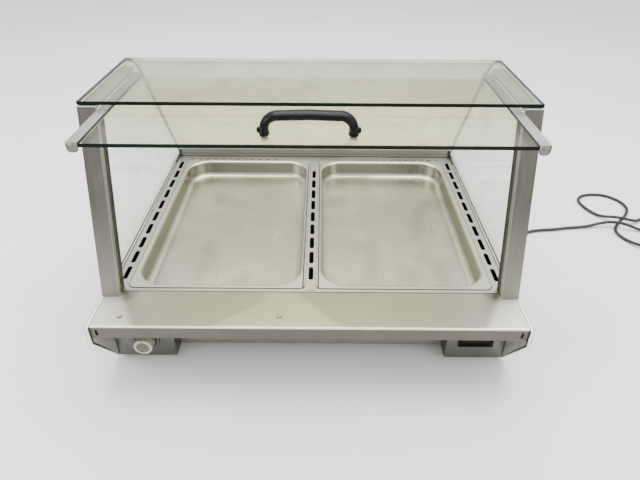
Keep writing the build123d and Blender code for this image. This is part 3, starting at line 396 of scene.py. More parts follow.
def bead(bm, points, width, height, up=Vector((0, 0, 1))):
    """Adds a low rounded bead along points: a half round of that width and height."""
    previous = None
    for i, at in enumerate(points):
        way = (points[min(i + 1, len(points) - 1)] - points[max(i - 1, 0)]).normalized()
        side = way.cross(up).normalized()
        ring = []
        for k in range(bead_sides + 1):
            a = pi * k / bead_sides
            ring.append(bm.verts.new(at + side * (width / 2 * cos(a)) + up * (height * sin(a))))
        if previous:
            for k in range(bead_sides):
                bm.faces.new((previous[k], previous[k + 1], ring[k + 1], ring[k]))
            bm.faces.new((previous[0], ring[0], ring[-1], previous[-1]))
        else:
            bm.faces.new(ring[::-1])
        previous = ring
    bm.faces.new(previous)


bm = bmesh.new()
joint_y = (shelf_high.y + deck_low.y) / 2
joint_half = deck_high.x - 0.0005
joint_line = [Vector((joint_half * k / 12, joint_y, deck_high.z)) for k in range(-12, 13)]
bead(bm, joint_line, joint_width, bead_height)
joint_seal = piece_from("joint_seal", bm, seal_black, "case")

# Dark plates behind the lip's slots: painted shade for the dark inside, not plugs.
slot_shade_x = shelf_high.x - 0.0105
plug_z = shelf_high.z - 0.014
slot_shade_reach = 0.0085
slot_shade_width, slot_shade_height = 0.0070, 0.0006
back_of_lip = shelf_low.y + 0.0017
bm = bmesh.new()
for hand in (-1, 1):
    upright = [Vector((hand * slot_shade_x, back_of_lip, plug_z + z)) for z in (-slot_shade_reach, 0, slot_shade_reach)]
    bead(bm, upright, slot_shade_width, slot_shade_height, Vector((0, 1, 0)))
slot_shades = piece_from("slot_shades", bm, seal_black, "case")

rim_corner = 0.012
corner_steps = 6
bar_shadow_width = 0.0024
bar_low, bar_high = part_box("divider_bar")
# Painted shadow: dark lines round the pans' rims and beside the bar, in the gaps under the rims.
bm = bmesh.new()
for node in ("pan_left", "pan_right"):
    rim_low, rim_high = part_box(node)
    run = []
    for sx, sy, turn in ((1, -1, -pi / 2), (1, 1, 0), (-1, 1, pi / 2), (-1, -1, pi)):
        x = (rim_high.x if sx > 0 else rim_low.x) - sx * rim_corner
        y = (rim_high.y if sy > 0 else rim_low.y) - sy * rim_corner
        for k in range(corner_steps + 1):
            a = turn + pi / 2 * k / corner_steps
            reach = rim_corner + rim_shadow_width / 2
            run.append(Vector((x + reach * cos(a), y + reach * sin(a), deck_high.z)))
    bead(bm, run + run[:2], rim_shadow_width, bead_height)
for hand in (-1, 1):
    gap_x = hand * (bar_high.x + 0.0003)
    run = [Vector((gap_x, y, bar_high.z)) for y in (bar_low.y + 0.004, 0.0, bar_high.y - 0.02)]
    bead(bm, run, bar_shadow_width, bead_height)
rim_shadow = piece_from("rim_shadow", bm, seal_black, "case")

screw_places = ((-0.326, -0.326), (-0.052, -0.322))
screw_grime_width = 0.0016
bm = bmesh.new()
for x, y in screw_places:
    turns = [pi * k / 8 for k in range(18)]
    ring = [Vector((x + screw_radius * cos(a), y + screw_radius * sin(a), deck_high.z)) for a in turns]
    bead(bm, ring, screw_grime_width, bead_height)
screw_grime = piece_from("screw_grime", bm, seal_black, "case")

# Hems: the edge of each side panel is folded over, pale with a painted highlight and scuffed. It runs along
# the top, round the front corner and down the slanting front of the panel, with painted shade on its outer
# flank. A thin cheek plate lines each panel under the shelf, its lighter tone painted light on that face,
# and a dark seam parts panel and shelf.

hem_width = 0.0062
hem_height = 0.0013
hem_out = 0.0011
hem_back = 0.330
hem_sides = 8
# Pale finish of hems and bright edges is a painted highlight, with scuffs; the outer flank is painted shade.
edge_highlight, place, surface = new_finish("edge_highlight")
scuff = place.noise(90, 5.0, 0.7)
shaded_flank = place.maths("ABSOLUTE", place.axis("X")).mask(0.3757, 0.3759)
scuffed_highlight = scuff.mask(0.55, 0.8).blend((0.94, 0.93, 0.89), (0.55, 0.53, 0.48))
paint(
    surface,
    {
        "Base Color": shaded_flank.blend(scuffed_highlight, (0.07, 0.068, 0.06)),
        "Metallic": 0.25,
        "Roughness": 0.30 + scuff * 0.15,
        "Normal": scuff.bump(0.0003, 0.2),
    },
)
bm = bmesh.new()
corner = 0.003
drop = 0.037
box_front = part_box("control_box_left")[0].y
for node in ("side_panel_left", "side_panel_right"):
    low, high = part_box(node)
    middle = (low.x + high.x) / 2 + (hem_out if low.x > 0 else -hem_out)
    front, top = low.y, high.z
    profile = [(y, top) for y in (hem_back, 0.2, 0.0, front + 0.09, front + corner)]
    for a in (0.4, 0.8, 1.2, 1.57):
        profile.append((front + corner * (1 - sin(a)), top - corner * (1 - cos(a))))
    profile += [(front, top - drop + 0.002), (front + 0.001, top - drop - 0.0012)]
    profile.append((box_front, low.z + 0.0005))
    points = [Vector((middle, y, z)) for y, z in profile]
    rings = []
    for i, at in enumerate(points):
        way = (points[min(i + 1, len(points) - 1)] - points[max(i - 1, 0)]).normalized()
        out = way.cross(Vector((1, 0, 0)))
        ring = []
        for k in range(hem_sides + 1):
            a = pi * k / hem_sides
            across = Vector((hem_width / 2 * cos(a), 0, 0))
            ring.append(bm.verts.new(at + across + out * (hem_height * sin(a))))
        rings.append(ring)
    for one, two in zip(rings, rings[1:]):
        for k in range(hem_sides):
            bm.faces.new((one[k], one[k + 1], two[k + 1], two[k]))
        bm.faces.new((one[-1], one[0], two[0], two[-1]))
    bm.faces.new(rings[0][::-1])
    bm.faces.new(rings[-1])
bmesh.ops.recalc_face_normals(bm, faces=bm.faces)
panel_hems = piece_from("panel_hems", bm, edge_highlight, "case")

# The cheek plate's lighter, duller tone is painted light on the panel's inner face under the shelf.
lit_cheek_steel, place, surface = new_finish("lit_cheek_steel")
rub = place.stretched(1, 1, 0.3).noise(60, 4.0, 0.6)
paint(
    surface,
    {
        "Base Color": rub.ramp((0.35, (0.33, 0.32, 0.285)), (0.7, (0.44, 0.43, 0.385))),
        "Metallic": 0.2,
        "Roughness": 0.5 + rub * 0.15,
        "Normal": rub.bump(0.0003, 0.2),
    },
)
cheek_thickness = 0.0003
cheek_x = shelf_high.x + 0.00015
cheek_front, cheek_back = shelf_low.y + 0.0012, box_front - 0.0006
cheek_top = shelf_low.z + 0.0005
panel_low, panel_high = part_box("side_panel_left")


def slab(bm, near, far):
    """Adds a plate between two outlines that have the same number of corners."""
    near, far = ([bm.verts.new(spot) for spot in outline] for outline in (near, far))
    bm.faces.new(near)
    bm.faces.new(far[::-1])
    for k in range(len(near)):
        bm.faces.new((near[k - 1], far[k - 1], far[k], near[k]))


bm = bmesh.new()
for hand in (-1, 1):
    outline = [
        (cheek_front, cheek_top),
        (cheek_front, panel_high.z - drop - 0.0004),
        (cheek_back, panel_low.z + 0.0030),
        (cheek_back, cheek_top),
    ]
    near = [(hand * (cheek_x - cheek_thickness), y, z) for y, z in outline]
    slab(bm, near, [(hand * cheek_x, y, z) for y, z in outline])
bmesh.ops.recalc_face_normals(bm, faces=bm.faces)
bmesh.ops.bevel(bm, geom=list(bm.edges), offset=0.0001, segments=1, affect="EDGES")
panel_cheeks = piece_from("panel_cheeks", bm, lit_cheek_steel, "case", smooth=False)

seam_width, seam_height = 0.0013, 0.0003
seam_along = (shelf_low.y + 0.004, -0.30, shelf_high.y)
seam_down = (0.1465, 0.135, shelf_low.z)
bm = bmesh.new()
for hand in (-1, 1):
    seam_x = hand * (shelf_high.x + 0.0002)
    bead(bm, [Vector((seam_x, y, shelf_high.z)) for y in seam_along], seam_width, seam_height)
    run = [Vector((seam_x, shelf_low.y, z)) for z in seam_down]
    bead(bm, run, seam_width, seam_height, Vector((0, -1, 0)))
panel_seams = piece_from("panel_seams", bm, seal_black, "case")

# Control boxes: two folded steel boxes under the shelf. The left one carries the thermostat,
# the right one the thermometer; both are brushed upright and splashed from above. A narrow flange
# stands out at each box's outer side.

box_steel = steel("box_steel", (0.155, 0.155, 0.14), "Z", rough=0.34, stain=0.4, blotch=16)
give(box_steel, "control_box_left", "control_box_right")

flange_thickness = 0.0010
flange_lap = 0.0018
flange_width = 0.0030
bm = bmesh.new()
for hand, side in ((-1, "left"), (1, "right")):
    box_low, box_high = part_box("control_box_" + side)
    inner = (box_high.x if hand > 0 else -box_low.x) - flange_lap
    outer = inner + flange_width
    near = box_low.y - 0.0002
    far = near + flange_thickness
    section = ((inner, near), (outer, near), (outer, far), (inner, far))
    foot, head = box_low.z + 0.0015, box_high.z - 0.0005
    slab(bm, [(hand * x, y, foot) for x, y in section], [(hand * x, y, head) for x, y in section])
bmesh.ops.recalc_face_normals(bm, faces=bm.faces)
bmesh.ops.bevel(bm, geom=list(bm.edges), offset=0.0002, segments=2, affect="EDGES")
box_flanges = piece_from("box_flanges", bm, box_steel, "case")

# Thermostat: a cream knob, yellowed with age, on a spun bezel with degree marks printed round it.
# The switch itself hangs behind the box; its copper capillary leads to the bulb in the well.

knob_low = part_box("thermostat_knob")[0]
ring_low, ring_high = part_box("knob_bezel")
knob_centre = (ring_low + ring_high) / 2
rib_count = 24
knob_cream, place, surface = new_finish("knob_cream")
grime = place.noise(140, 5.0, 0.7)
across = place.axis("X") - knob_centre.x
upward = place.axis("Z") - knob_centre.z
turn = place.maths("ARCTAN2", upward, across) * rib_count
ribs = place.maths("SINE", turn)
side_part = place.axis("Y").mask(knob_low.y + 0.0015, knob_low.y + 0.003)
groove = (1.0 - ribs.mask(-0.5, 0.4)) * side_part
speck = place.noise(900, 2.0)
aged = (grime.mask(0.5, 0.8) * 0.6 + groove * 0.75).blend((0.58, 0.545, 0.42), (0.16, 0.14, 0.09))
paint(
    surface,
    {
        "Base Color": aged,
        "Roughness": 0.36 + grime * 0.25,
        "Coat Weight": 0.15,
        "Normal": speck.bump(0.0002, 0.2),
    },
)
give(knob_cream, "thermostat_knob")
give(screw_steel, "knob_shaft")

turning_marks = 5200
bezel_spun, place, surface = new_finish("bezel_spun")
to_axis = place.node("VectorMath", {"operation": "SUBTRACT"}, {0: place, 1: tuple(knob_centre)})
radial = to_axis.node("VectorMath", {"operation": "LENGTH"}, {0: to_axis}, out=1)
turned = place.maths("SINE", radial * turning_marks)
bright_ring = radial.mask(0.0224, 0.0227) * (1.0 - radial.mask(0.0242, 0.0245))
paint(
    surface,
    {
        "Base Color": bright_ring.blend((0.03, 0.029, 0.027), (0.20, 0.198, 0.185)),
        "Metallic": 0.25,
        "Roughness": 0.30 + place.noise(300, 3.0) * 0.15,
        "Normal": turned.bump(0.0002, 0.15),
    },
)
give(bezel_spun, "knob_bezel")

mark_black, place, surface = new_finish("mark_black")
ink = place.noise(500, 2.0).ramp((0.3, (0.01, 0.01, 0.01)), (0.8, (0.05, 0.05, 0.05)))
paint(surface, {"Base Color": ink, "Roughness": 0.5})

mark_start = 0.0193
mark_half_width = 0.00025
mark_lengths = (0.0024, 0.0013)
mark_front = ring_low.y - 0.00012
mark_back = mark_front + 0.0002
mark_sweep = radians(270)
mark_count = 19
bm = bmesh.new()
for k in range(mark_count):
    a = radians(90) - mark_sweep * k / (mark_count - 1)
    out = Vector((cos(a), 0, sin(a)))
    along = Vector((-sin(a), 0, cos(a)))
    length = mark_lengths[k % 2]
    corners = []
    for reach, side in ((0, -1), (0, 1), (1, 1), (1, -1)):
        spot = knob_centre + out * (mark_start + reach * length) + along * (side * mark_half_width)
        corners.append((spot.x, spot.z))
    slab(bm, [(x, mark_back, z) for x, z in corners], [(x, mark_front, z) for x, z in corners])
dial_marks = piece_from("dial_marks", bm, mark_black, "case", smooth=False)

# Cap of the knob: a grey moulded disc pressed into the hollow of the knob's face, with a raised
# rim, a hub and spokes. A printed line on the knob is its pointer.

cap_radius = 0.0122
cap_relief = 0.0010
cap_points = 48
spoke_height = 0.28
cap_grey, place, surface = new_finish("cap_grey")
grime = place.noise(260, 5.0, 0.75)
paint(
    surface,
    {
        "Base Color": grime.ramp(
            (0.3, (0.06, 0.055, 0.042)), (0.55, (0.16, 0.15, 0.115)), (0.8, (0.32, 0.30, 0.24))
        ),
        "Roughness": 0.5,
        "Normal": grime.bump(0.0006, 0.5),
    },
)
bm = bmesh.new()
hub = [(0.0, 0.10), (0.16, 0.10), (0.20, 0.45), (0.26, 0.45)]
cap_profile = hub + [(0.30, 0.12), (0.80, 0.12), (0.84, 0.42), (0.94, 0.42), (1.0, 0.0)]
rings = []
for reach, height in cap_profile:
    ring = []
    for k in range(cap_points if reach else 1):
        a = 2 * pi * k / cap_points
        rise = height + (spoke_height if 0.25 < reach < 0.82 and k % 6 < 2 else 0.0)
        out = cap_radius * reach
        spot = (knob_centre.x + out * sin(a), knob_low.y - cap_relief * rise, knob_centre.z + out * cos(a))
        ring.append(bm.verts.new(spot))
    rings.append(ring)
for one, two in zip(rings, rings[1:]):
    for k in range(cap_points):
        after = (k + 1) % cap_points
        if len(one) == 1:
            bm.faces.new((one[0], two[k], two[after]))
        else:
            bm.faces.new((one[k], two[k], two[after], one[after]))
bm.faces.new(rings[-1])
bmesh.ops.recalc_face_normals(bm, faces=bm.faces)
knob_cap = piece_from("knob_cap", bm, cap_grey, "knob")

pointer_half = 0.0007
pointer_low, pointer_high = 0.0115, 0.0165
pointer_front = knob_low.y - 0.0001
pointer_back = pointer_front + 0.0004
outline = ((-1, pointer_low), (1, pointer_low), (1, pointer_high), (-1, pointer_high))
corners = [(knob_centre.x + side * pointer_half, knob_centre.z + z) for side, z in outline]
bm = bmesh.new()
slab(bm, [(x, pointer_back, z) for x, z in corners], [(x, pointer_front, z) for x, z in corners])
knob_pointer = piece_from("knob_pointer", bm, mark_black, "knob", smooth=False)

switch_plastic, place, surface = new_finish("switch_plastic")
paint(
    surface,
    {
        "Base Color": place.noise(90, 4.0).ramp((0.3, (0.02, 0.02, 0.022)), (0.75, (0.055, 0.052, 0.05))),
        "Roughness": 0.45 + place.noise(300, 2.0) * 0.2,
        "Normal": place.noise(1500, 2.0).bump(0.0002, 0.3),
    },
)
give(switch_plastic, "thermostat_body", "terminal_block", "display_controller")

capillary_copper, place, surface = new_finish("capillary_copper")
tarnish = place.noise(70, 5.0, 0.65)
paint(
    surface,
    {
        "Base Color": tarnish.ramp(
            (0.3, (0.30, 0.13, 0.07)), (0.6, (0.62, 0.30, 0.17)), (0.8, (0.35, 0.20, 0.14))
        ),
        "Metallic": 1.0,
        "Roughness": 0.3 + tarnish * 0.3,
    },
)
give(capillary_copper, "thermostat_bulb")

# Thermometer: a black moulded frame clipped into the right box, round a nearly black window.
# The display is off, and both are matt with handling.

frame_black, place, surface = new_finish("frame_black")
paint(
    surface,
    {
        "Base Color": place.noise(120, 4.0).ramp((0.4, (0.003, 0.003, 0.003)), (0.8, (0.014, 0.013, 0.013))),
        "Roughness": 0.36 + place.noise(60, 3.0) * 0.2,
        "Normal": place.noise(2200, 2.0).bump(0.0001, 0.25),
    },
)
surface.inputs["Specular IOR Level"].default_value = 0.06
give(frame_black, "display_bezel")

window_glass, place, surface = new_finish("window_glass")
dust = place.noise(400, 4.0, 0.8)
window_low, window_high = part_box("display_window")
height = place.axis("Z")
over_band = height.mask(window_high.z - 0.0045, window_high.z - 0.004)
digit_band = height.mask(window_low.z + 0.004, window_low.z + 0.0045) * (1.0 - over_band)
paint(
    surface,
    {
        "Base Color": (digit_band * 0.8 + dust * 0.2).blend((0.004, 0.003, 0.003), (0.022, 0.017, 0.015)),
        "Roughness": 0.22 + dust * 0.2,
    },
)
surface.inputs["Specular IOR Level"].default_value = 0.06
give(window_glass, "display_window")

# Deck: a thin sheet round the pans, pierced with obround slots for warm air, and the divider bar
# that carries the pans' inner flanges. Its steel is painted lighter than the panels' for the light from
# above.

wiped_dull = (0.42, 0.38, 0.31)
# Deck steel is painted lighter than the panels': light falling on it from above.
deck_steel = steel("deck_steel", (0.57, 0.56, 0.50), "Y", rough=0.27, stain=0.22, blotch=20, dull=wiped_dull)
give(deck_steel, "pan_deck", "divider_bar", "glass_seats")
channel_steel = steel("channel_steel", (0.34, 0.335, 0.30), "X", rough=0.30, stain=0.4)
give(channel_steel, "glass_channel")

# Slots of the deck and the bar: dark beads round their edges are painted shade, so the openings read
# dark and wide, and dark dashes paint shade into the fine row at the back.

pan_low, pan_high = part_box("pan_left")
slot_x = 0.350
slot_pitch = 0.0508
slot_first = 0.044
slot_reach = 0.015
slot_round = 0.0043
slot_points = 20
edge_width, edge_height = 0.0010, 0.00015
# Painted shade: dark beads round the slots and dashes over the back row.
bm = bmesh.new()
for x, count in ((-slot_x, 10), (slot_x, 10), (0.0, 9)):
    for k in range(count):
        y = pan_low.y + slot_first + slot_pitch * k
        top = bar_high.z if x == 0 else deck_high.z
        run = []
        for j in range(slot_points + 2):
            a = 2 * pi * j / slot_points
            end = slot_reach if sin(a) > 0 else -slot_reach
            run.append(Vector((x + slot_round * cos(a), y + end + slot_round * sin(a), top)))
        bead(bm, run, edge_width, edge_height)

row_first, row_pitch, row_count = 0.106, 0.020, 12
row_y = pan_high.y + 0.0075
dash_reach = 0.0052
dash_width, dash_height = 0.0032, 0.0002
for hand in (-1, 1):
    for k in range(row_count):
        x = hand * (row_first + row_pitch * k)
        dash = [Vector((x + shift, row_y, deck_high.z)) for shift in (-dash_reach, 0, dash_reach)]
        bead(bm, dash, dash_width, dash_height)
slot_edge_shade = piece_from("slot_edge_shade", bm, seal_black, "case")

# Back ledge: the channel that holds the bent glass's foot, folded to a top edge with a painted highlight
# along it. A pressed groove runs along its front, painted as a dark line of shade, and its foot is sealed
# against the deck.

ledge_top = 0.170
ledge_foot = 0.150
ledge_lean = 0.185
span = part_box("glass_channel")[1].x - 0.001
edge_y = deck_high.y + 0.0046
edge_width, edge_height = 0.0018, 0.0009
bm = bmesh.new()
bead(bm, [Vector((x, edge_y, ledge_top)) for x in (-span, 0, span)], edge_width, edge_height)
ledge_edge = piece_from("ledge_edge", bm, edge_highlight, "case")
# The groove's dark line is painted shade.
foot_seal, groove = (0.0006, 0.0022), (0.0078, 0.0011)
bm = bmesh.new()
for rise, width in (foot_seal, groove):
    line_y = deck_high.y + 0.0002 + rise * ledge_lean
    rail = [Vector((x, line_y, ledge_foot + rise)) for x in (-span, 0, span)]
    bead(bm, rail, width, 0.0005, up=Vector((0, -0.98, 0.18)))
ledge_seal = piece_from("ledge_seal", bm, seal_black, "case")

# Well under the pans: a folded tank over a slab of mineral wool, with two rod elements that have
# turned straw and blue with heat, held by punched brackets.

# The tank's steel is painted nearly black: shade inside the well, seen through the slots.
well_shade = (0.03, 0.024, 0.018)
well_steel = steel("well_steel", (0.045, 0.040, 0.035), "Y", rough=0.55, stain=0.5, dull=well_shade)
give(well_steel, "well_tank", "element_brackets")

element_tint, place, surface = new_finish("element_tint")
heat = place.noise(18, 4.0, 0.6)
paint(
    surface,
    {
        "Base Color": heat.ramp(
            (0.3, (0.10, 0.10, 0.13)), (0.5, (0.20, 0.15, 0.11)), (0.7, (0.30, 0.24, 0.15))
        ),
        "Metallic": 0.9,
        "Roughness": 0.42 + heat * 0.2,
        "Normal": place.noise(900, 3.0).bump(0.0003, 0.3),
    },
)
give(element_tint, "heating_element_left", "heating_element_right")

wool, place, surface = new_finish("mineral_wool")
fibre = place.stretched(1, 0.2, 1).noise(700, 5.0, 0.8)
paint(
    surface,
    {
        "Base Color": fibre.ramp((0.3, (0.34, 0.28, 0.14)), (0.7, (0.60, 0.52, 0.32))),
        "Roughness": 0.95,
        "Normal": fibre.bump(0.003, 0.8),
    },
)
give(wool, "insulation")

# Pans: gastronorm trays pressed from one sheet, polished by washing, with dried water marks and a few
# dark crumbs in patches on the floor. Highlights are painted on the rim that lies on deck and bar and
# along the fillet at the floor's edge, and the walls are painted darker for the dark things they mirror.

pan_steel, place, surface = new_finish("pan_steel")
grain = place.stretched(1, 0.05, 1).noise(160, 2.0, 0.4)
film = place.noise(6, 3.0, 0.5)
dried = place.noise(30, 4.0, 0.6)
crumb_gap = place.node("TexVoronoi", {"voronoi_dimensions": "2D"}, {"Vector": place, "Scale": 30.0})
crumb_patch = place.noise(12, 2.0, 0.5).mask(0.54, 0.58)
crumbs = (1.0 - crumb_gap.mask(0.036, 0.050)) * crumb_patch
height = place.axis("Z")
floor_part = 1.0 - height.mask(pan_low.z + 0.004, pan_low.z + 0.012)
soil = (film.mask(0.46, 0.72) * 0.22 + dried.mask(0.60, 0.76) * 0.14) * (floor_part * 0.8 + 0.2)
pressed = grain * 0.2 + film * 0.8
metal = pressed.ramp((0.3, (0.53, 0.51, 0.42)), (0.5, (0.59, 0.57, 0.475)), (0.7, (0.66, 0.64, 0.54)))
under_rim = 1.0 - height.mask(pan_high.z - 0.007, pan_high.z - 0.003)
# The walls are painted darker: the reflection of the dark things round the pans.
dark_wall_reflection = height.mask(pan_low.z + 0.004, pan_low.z + 0.014) * under_rim
over_fillet = height.mask(pan_low.z + 0.007, pan_low.z + 0.011)
fillet_highlight = height.mask(pan_low.z + 0.0012, pan_low.z + 0.0035) * (1.0 - over_fillet)
# Painted highlights on the rim and on the fillet at the floor's edge.
rim_highlight = height.mask(pan_high.z - 0.003, pan_high.z - 0.0015)
metal = (rim_highlight * 0.6).blend(metal, (0.78, 0.77, 0.69))
metal = (fillet_highlight * 0.8).blend(metal, (0.90, 0.885, 0.82))
metal = (dark_wall_reflection * 0.78).blend(metal, (0.225, 0.222, 0.205))
smudge = place.stretched(1, 0.7, 1).noise(7, 4.0, 0.5).mask(0.49, 0.62) * floor_part
metal = (smudge * 0.55).blend(metal, (0.32, 0.315, 0.265))
metal = (crumbs * floor_part * 0.9).blend(metal, (0.02, 0.018, 0.014))
paint(
    surface,
    {
        "Base Color": soil.blend(metal, (0.46, 0.41, 0.32)),
        "Metallic": 0.96 - soil * 0.6,
        "Roughness": 0.25 + soil * 0.38 + film * 0.06,
        "Normal": film.bump(0.0011, 0.22),
    },
)
give(pan_steel, "pan_left", "pan_right")

# Posts and arms: leaning steel uprights, brushed along their length, with a black rubber strip
# behind each and a black seal on its inner side. A flat arm lies on top, and its inner flange is
# slotted as the flap's track.

post_steel, place, surface = new_finish("post_steel")
grain = place.stretched(1, 0.02, 0.012).noise(1300, 4.0, 0.7)
haze = place.stretched(1, 1, 0.35).noise(9, 5.0, 0.6)
hands = place.noise(40, 5.0, 0.7)
soil = haze.mask(0.5, 0.8) * 0.35 + hands.mask(0.6, 0.75) * 0.25
brushed = grain * 0.7 + haze * 0.3
metal = brushed.ramp((0.3, (0.10, 0.094, 0.080)), (0.5, (0.145, 0.138, 0.118)), (0.72, (0.24, 0.23, 0.20)))
near_foot = 1.0 - place.axis("Z").mask(0.16, 0.32)
metal = (near_foot * 0.6).blend(metal, (0.36, 0.345, 0.30))
inner_side = 1.0 - place.maths("ABSOLUTE", place.axis("X")).mask(0.3440, 0.3444)
metal = (inner_side * 0.7).blend(metal, (0.50, 0.485, 0.45))
paint(
    surface,
    {
        "Base Color": soil.blend(metal, (0.30, 0.255, 0.20)),
        "Metallic": 0.95 - soil * 0.4,
        "Roughness": 0.34 + grain * 0.12 + soil * 0.2,
        "Normal": brushed.bump(0.0004, 0.3),
    },
)
give(post_steel, "post_left", "post_right")

post_inner_x = 0.3435
post_foot_y, post_foot_z = -0.274, 0.150
post_depth = 0.017
post_lean = radians(16.5)
seal_width, seal_height = 0.0055, 0.0009
seal_stations = (0.1505, 0.25, 0.36, 0.450)
seal_y = post_foot_y + (post_depth - seal_width / 2) / cos(post_lean)
bm = bmesh.new()
for hand in (-1, 1):
    run = []
    for z in seal_stations:
        run.append(Vector((hand * post_inner_x, seal_y + (z - post_foot_z) * tan(post_lean), z)))
    bead(bm, run, seal_width, seal_height, up=Vector((-hand, 0, 0)))
bmesh.ops.recalc_face_normals(bm, faces=bm.faces)
post_seals = piece_from("post_seals", bm, seal_black, "case")

arm_steel = steel("arm_steel", (0.68, 0.68, 0.61), "Y", rough=0.30, stain=0.3, blotch=22)
give(arm_steel, "arm_left", "arm_right")

strip_rubber, place, surface = new_finish("strip_rubber")
lint = place.noise(300, 5.0, 0.75)
paint(
    surface,
    {
        "Base Color": lint.mask(0.62, 0.8).blend((0.010, 0.010, 0.010), (0.07, 0.068, 0.062)),
        "Roughness": 0.55 + lint * 0.15,
        "Normal": place.stretched(1, 1, 0.1).noise(700, 3.0).bump(0.0004, 0.3),
    },
)
give(strip_rubber, "post_strips", "glass_gaskets", "corner_seals", "flap_gaskets")

# Glass: the bent pane that is top and customer side in one, and the two side panes, toughened
# and polished round the edge. Greasy fingers have left them hazy near the openings, and a thin
# lip of the seat runs along each side pane's foot, with a painted highlight.

no_end = 9.0


def pane(name, tint, edge_of, haze_scale=7.0, haze_amount=0.05):
    """Glass: faces that let light through and mirror a little, a greasy haze and a dark rim."""
    material, place, surface = new_finish(name)
    smear = place.noise(haze_scale, 6.0, 0.65)
    touch = place.noise(haze_scale * 7, 4.0, 0.7)
    dirt = smear.mask(0.5, 0.78) * haze_amount + touch.mask(0.66, 0.8) * (haze_amount * 0.6)
    edge = edge_of(place)
    clean = dirt.mask(0.0, 0.04).blend((0.97, 0.98, 0.96), (0.66, 0.66, 0.60))
    paint(
        surface,
        {
            "Base Color": edge.blend(clean, (0.003, 0.009, 0.006)),
            "Metallic": 1.0 - place.maths("MINIMUM", edge + dirt * 14, 1.0),
            "Roughness": 0.02 + dirt * 2 + edge * 0.25,
        },
    )
    surface.inputs["Specular IOR Level"].default_value = 0.08
    facing = place.node("LayerWeight", {}, {"Blend": 0.5}, out="Facing")
    mirror = facing**5 * 0.9 + 0.035
    cover = place.maths("MAXIMUM", mirror + dirt, edge)
    clear = place.node("BsdfTransparent", {}, {"Color": (*tint, 1)})
    glass = Wire(place.tree, surface.outputs[0])
    both = place.node("MixShader", {}, {0: cover, 1: clear, 2: glass})
    place.tree.links.new(both.socket, place.tree.nodes["Material Output"].inputs["Surface"])
    return material


def beyond(coordinate, low, high):
    """1 where a coordinate lies outside low..high, with a hard edge."""
    under = 1.0 - coordinate.mask(low - 0.00005, low + 0.00005)
    return under + coordinate.mask(high - 0.00005, high + 0.00005)


bent_low, bent_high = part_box("bent_glass")


def bent_rim(place):
    """The side edges and the front edge of the bent pane."""
    sides = beyond(place.axis("X"), bent_low.x + 0.0002, bent_high.x - 0.0002)
    return place.maths("MAXIMUM", sides, beyond(place.axis("Y"), bent_low.y + 0.0007, no_end))


bent_pane = pane("bent_pane", (0.875, 0.88, 0.81), bent_rim)
give(bent_pane, "bent_glass")

side_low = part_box("side_glass_left")[0]


def side_rim(place):
    """The front edge of a side pane, which leans with the posts."""
    from_edge = place.axis("Y") - (place.axis("Z") - side_low.z) * tan(post_lean)
    return beyond(from_edge, side_low.y + 0.0007, no_end)


side_pane = pane("side_pane", (0.955, 0.965, 0.955), side_rim, haze_scale=9, haze_amount=0.06)
give(side_pane, "side_glass_left", "side_glass_right")

silicone, place, surface = new_finish("clear_silicone")
paint(
    surface,
    {
        "Base Color": place.noise(60, 4.0).ramp((0.3, (0.52, 0.55, 0.52)), (0.8, (0.66, 0.68, 0.64))),
        "Roughness": 0.34 + place.noise(200, 3.0) * 0.15,
        "Normal": place.noise(350, 3.0).bump(0.0006, 0.3),
        "Alpha": 0.75,
    },
)
give(silicone, "glass_beads")

# The seat lips carry the painted highlight of the hems' finish.
seat_x = 0.3650
seat_front, seat_back = -0.252, 0.262
seat_width, seat_height = 0.0017, 0.0005
bm = bmesh.new()
for hand in (-1, 1):
    run = [Vector((hand * seat_x, y, deck_high.z + 0.002)) for y in (seat_front, 0.0, seat_back)]
    bead(bm, run, seat_width, seat_height)
seat_lips = piece_from("seat_lips", bm, edge_highlight, "case")

# Flap: a toughened pane between two bright folded rails with black glazing rubber, hung on pins
# that run in the arms. The rubber's lip shows as a black line beside each rail.

rail_steel = steel("rail_steel", (0.60, 0.585, 0.53), "Y", rough=0.24, stain=0.18, blotch=30)
give(rail_steel, "flap_rail_left", "flap_rail_right")
flap_low, flap_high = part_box("flap_glass")


def flap_rim(place):
    """The front edge of the flap's pane."""
    return beyond(place.axis("Y"), flap_low.y + 0.0006, no_end)


flap_pane = pane("flap_pane", (0.885, 0.88, 0.75), flap_rim, haze_scale=5)
give(flap_pane, "flap_glass")

nylon, place, surface = new_finish("nylon")
paint(
    surface,
    {
        "Base Color": place.noise(200, 4.0).ramp((0.35, (0.60, 0.60, 0.54)), (0.8, (0.76, 0.76, 0.71))),
        "Roughness": 0.5,
        "Normal": place.noise(1200, 3.0).bump(0.0002, 0.3),
    },
)
give(nylon, "flap_block_left", "flap_block_right", "flap_rollers")
give(screw_steel, "flap_pin_left", "flap_pin_right")

lip_width, lip_height = 0.0022, 0.0011
lip_stations = (flap_low.y + 0.001, flap_low.y + 0.1, flap_low.y + 0.2, flap_high.y)
for hand, side in ((-1, "left"), (1, "right")):
    rail_low, rail_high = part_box("flap_rail_" + side)
    inner = rail_high.x if hand < 0 else rail_low.x
    bm = bmesh.new()
    run = [Vector((inner - hand * lip_width / 2, y, flap_high.z)) for y in lip_stations]
    bead(bm, run, lip_width, lip_height)
    lip = piece_from("flap_lip_" + side, bm, strip_rubber, "flap")

# End tabs: the front end of each rail is folded down over the edge of the glass. It is a short
# tongue with rounded lower corners, duller than the rail and painted darker, as shade on its face.

tab_drop = 0.0155
tab_round = 0.0055
tab_inset = 0.0004
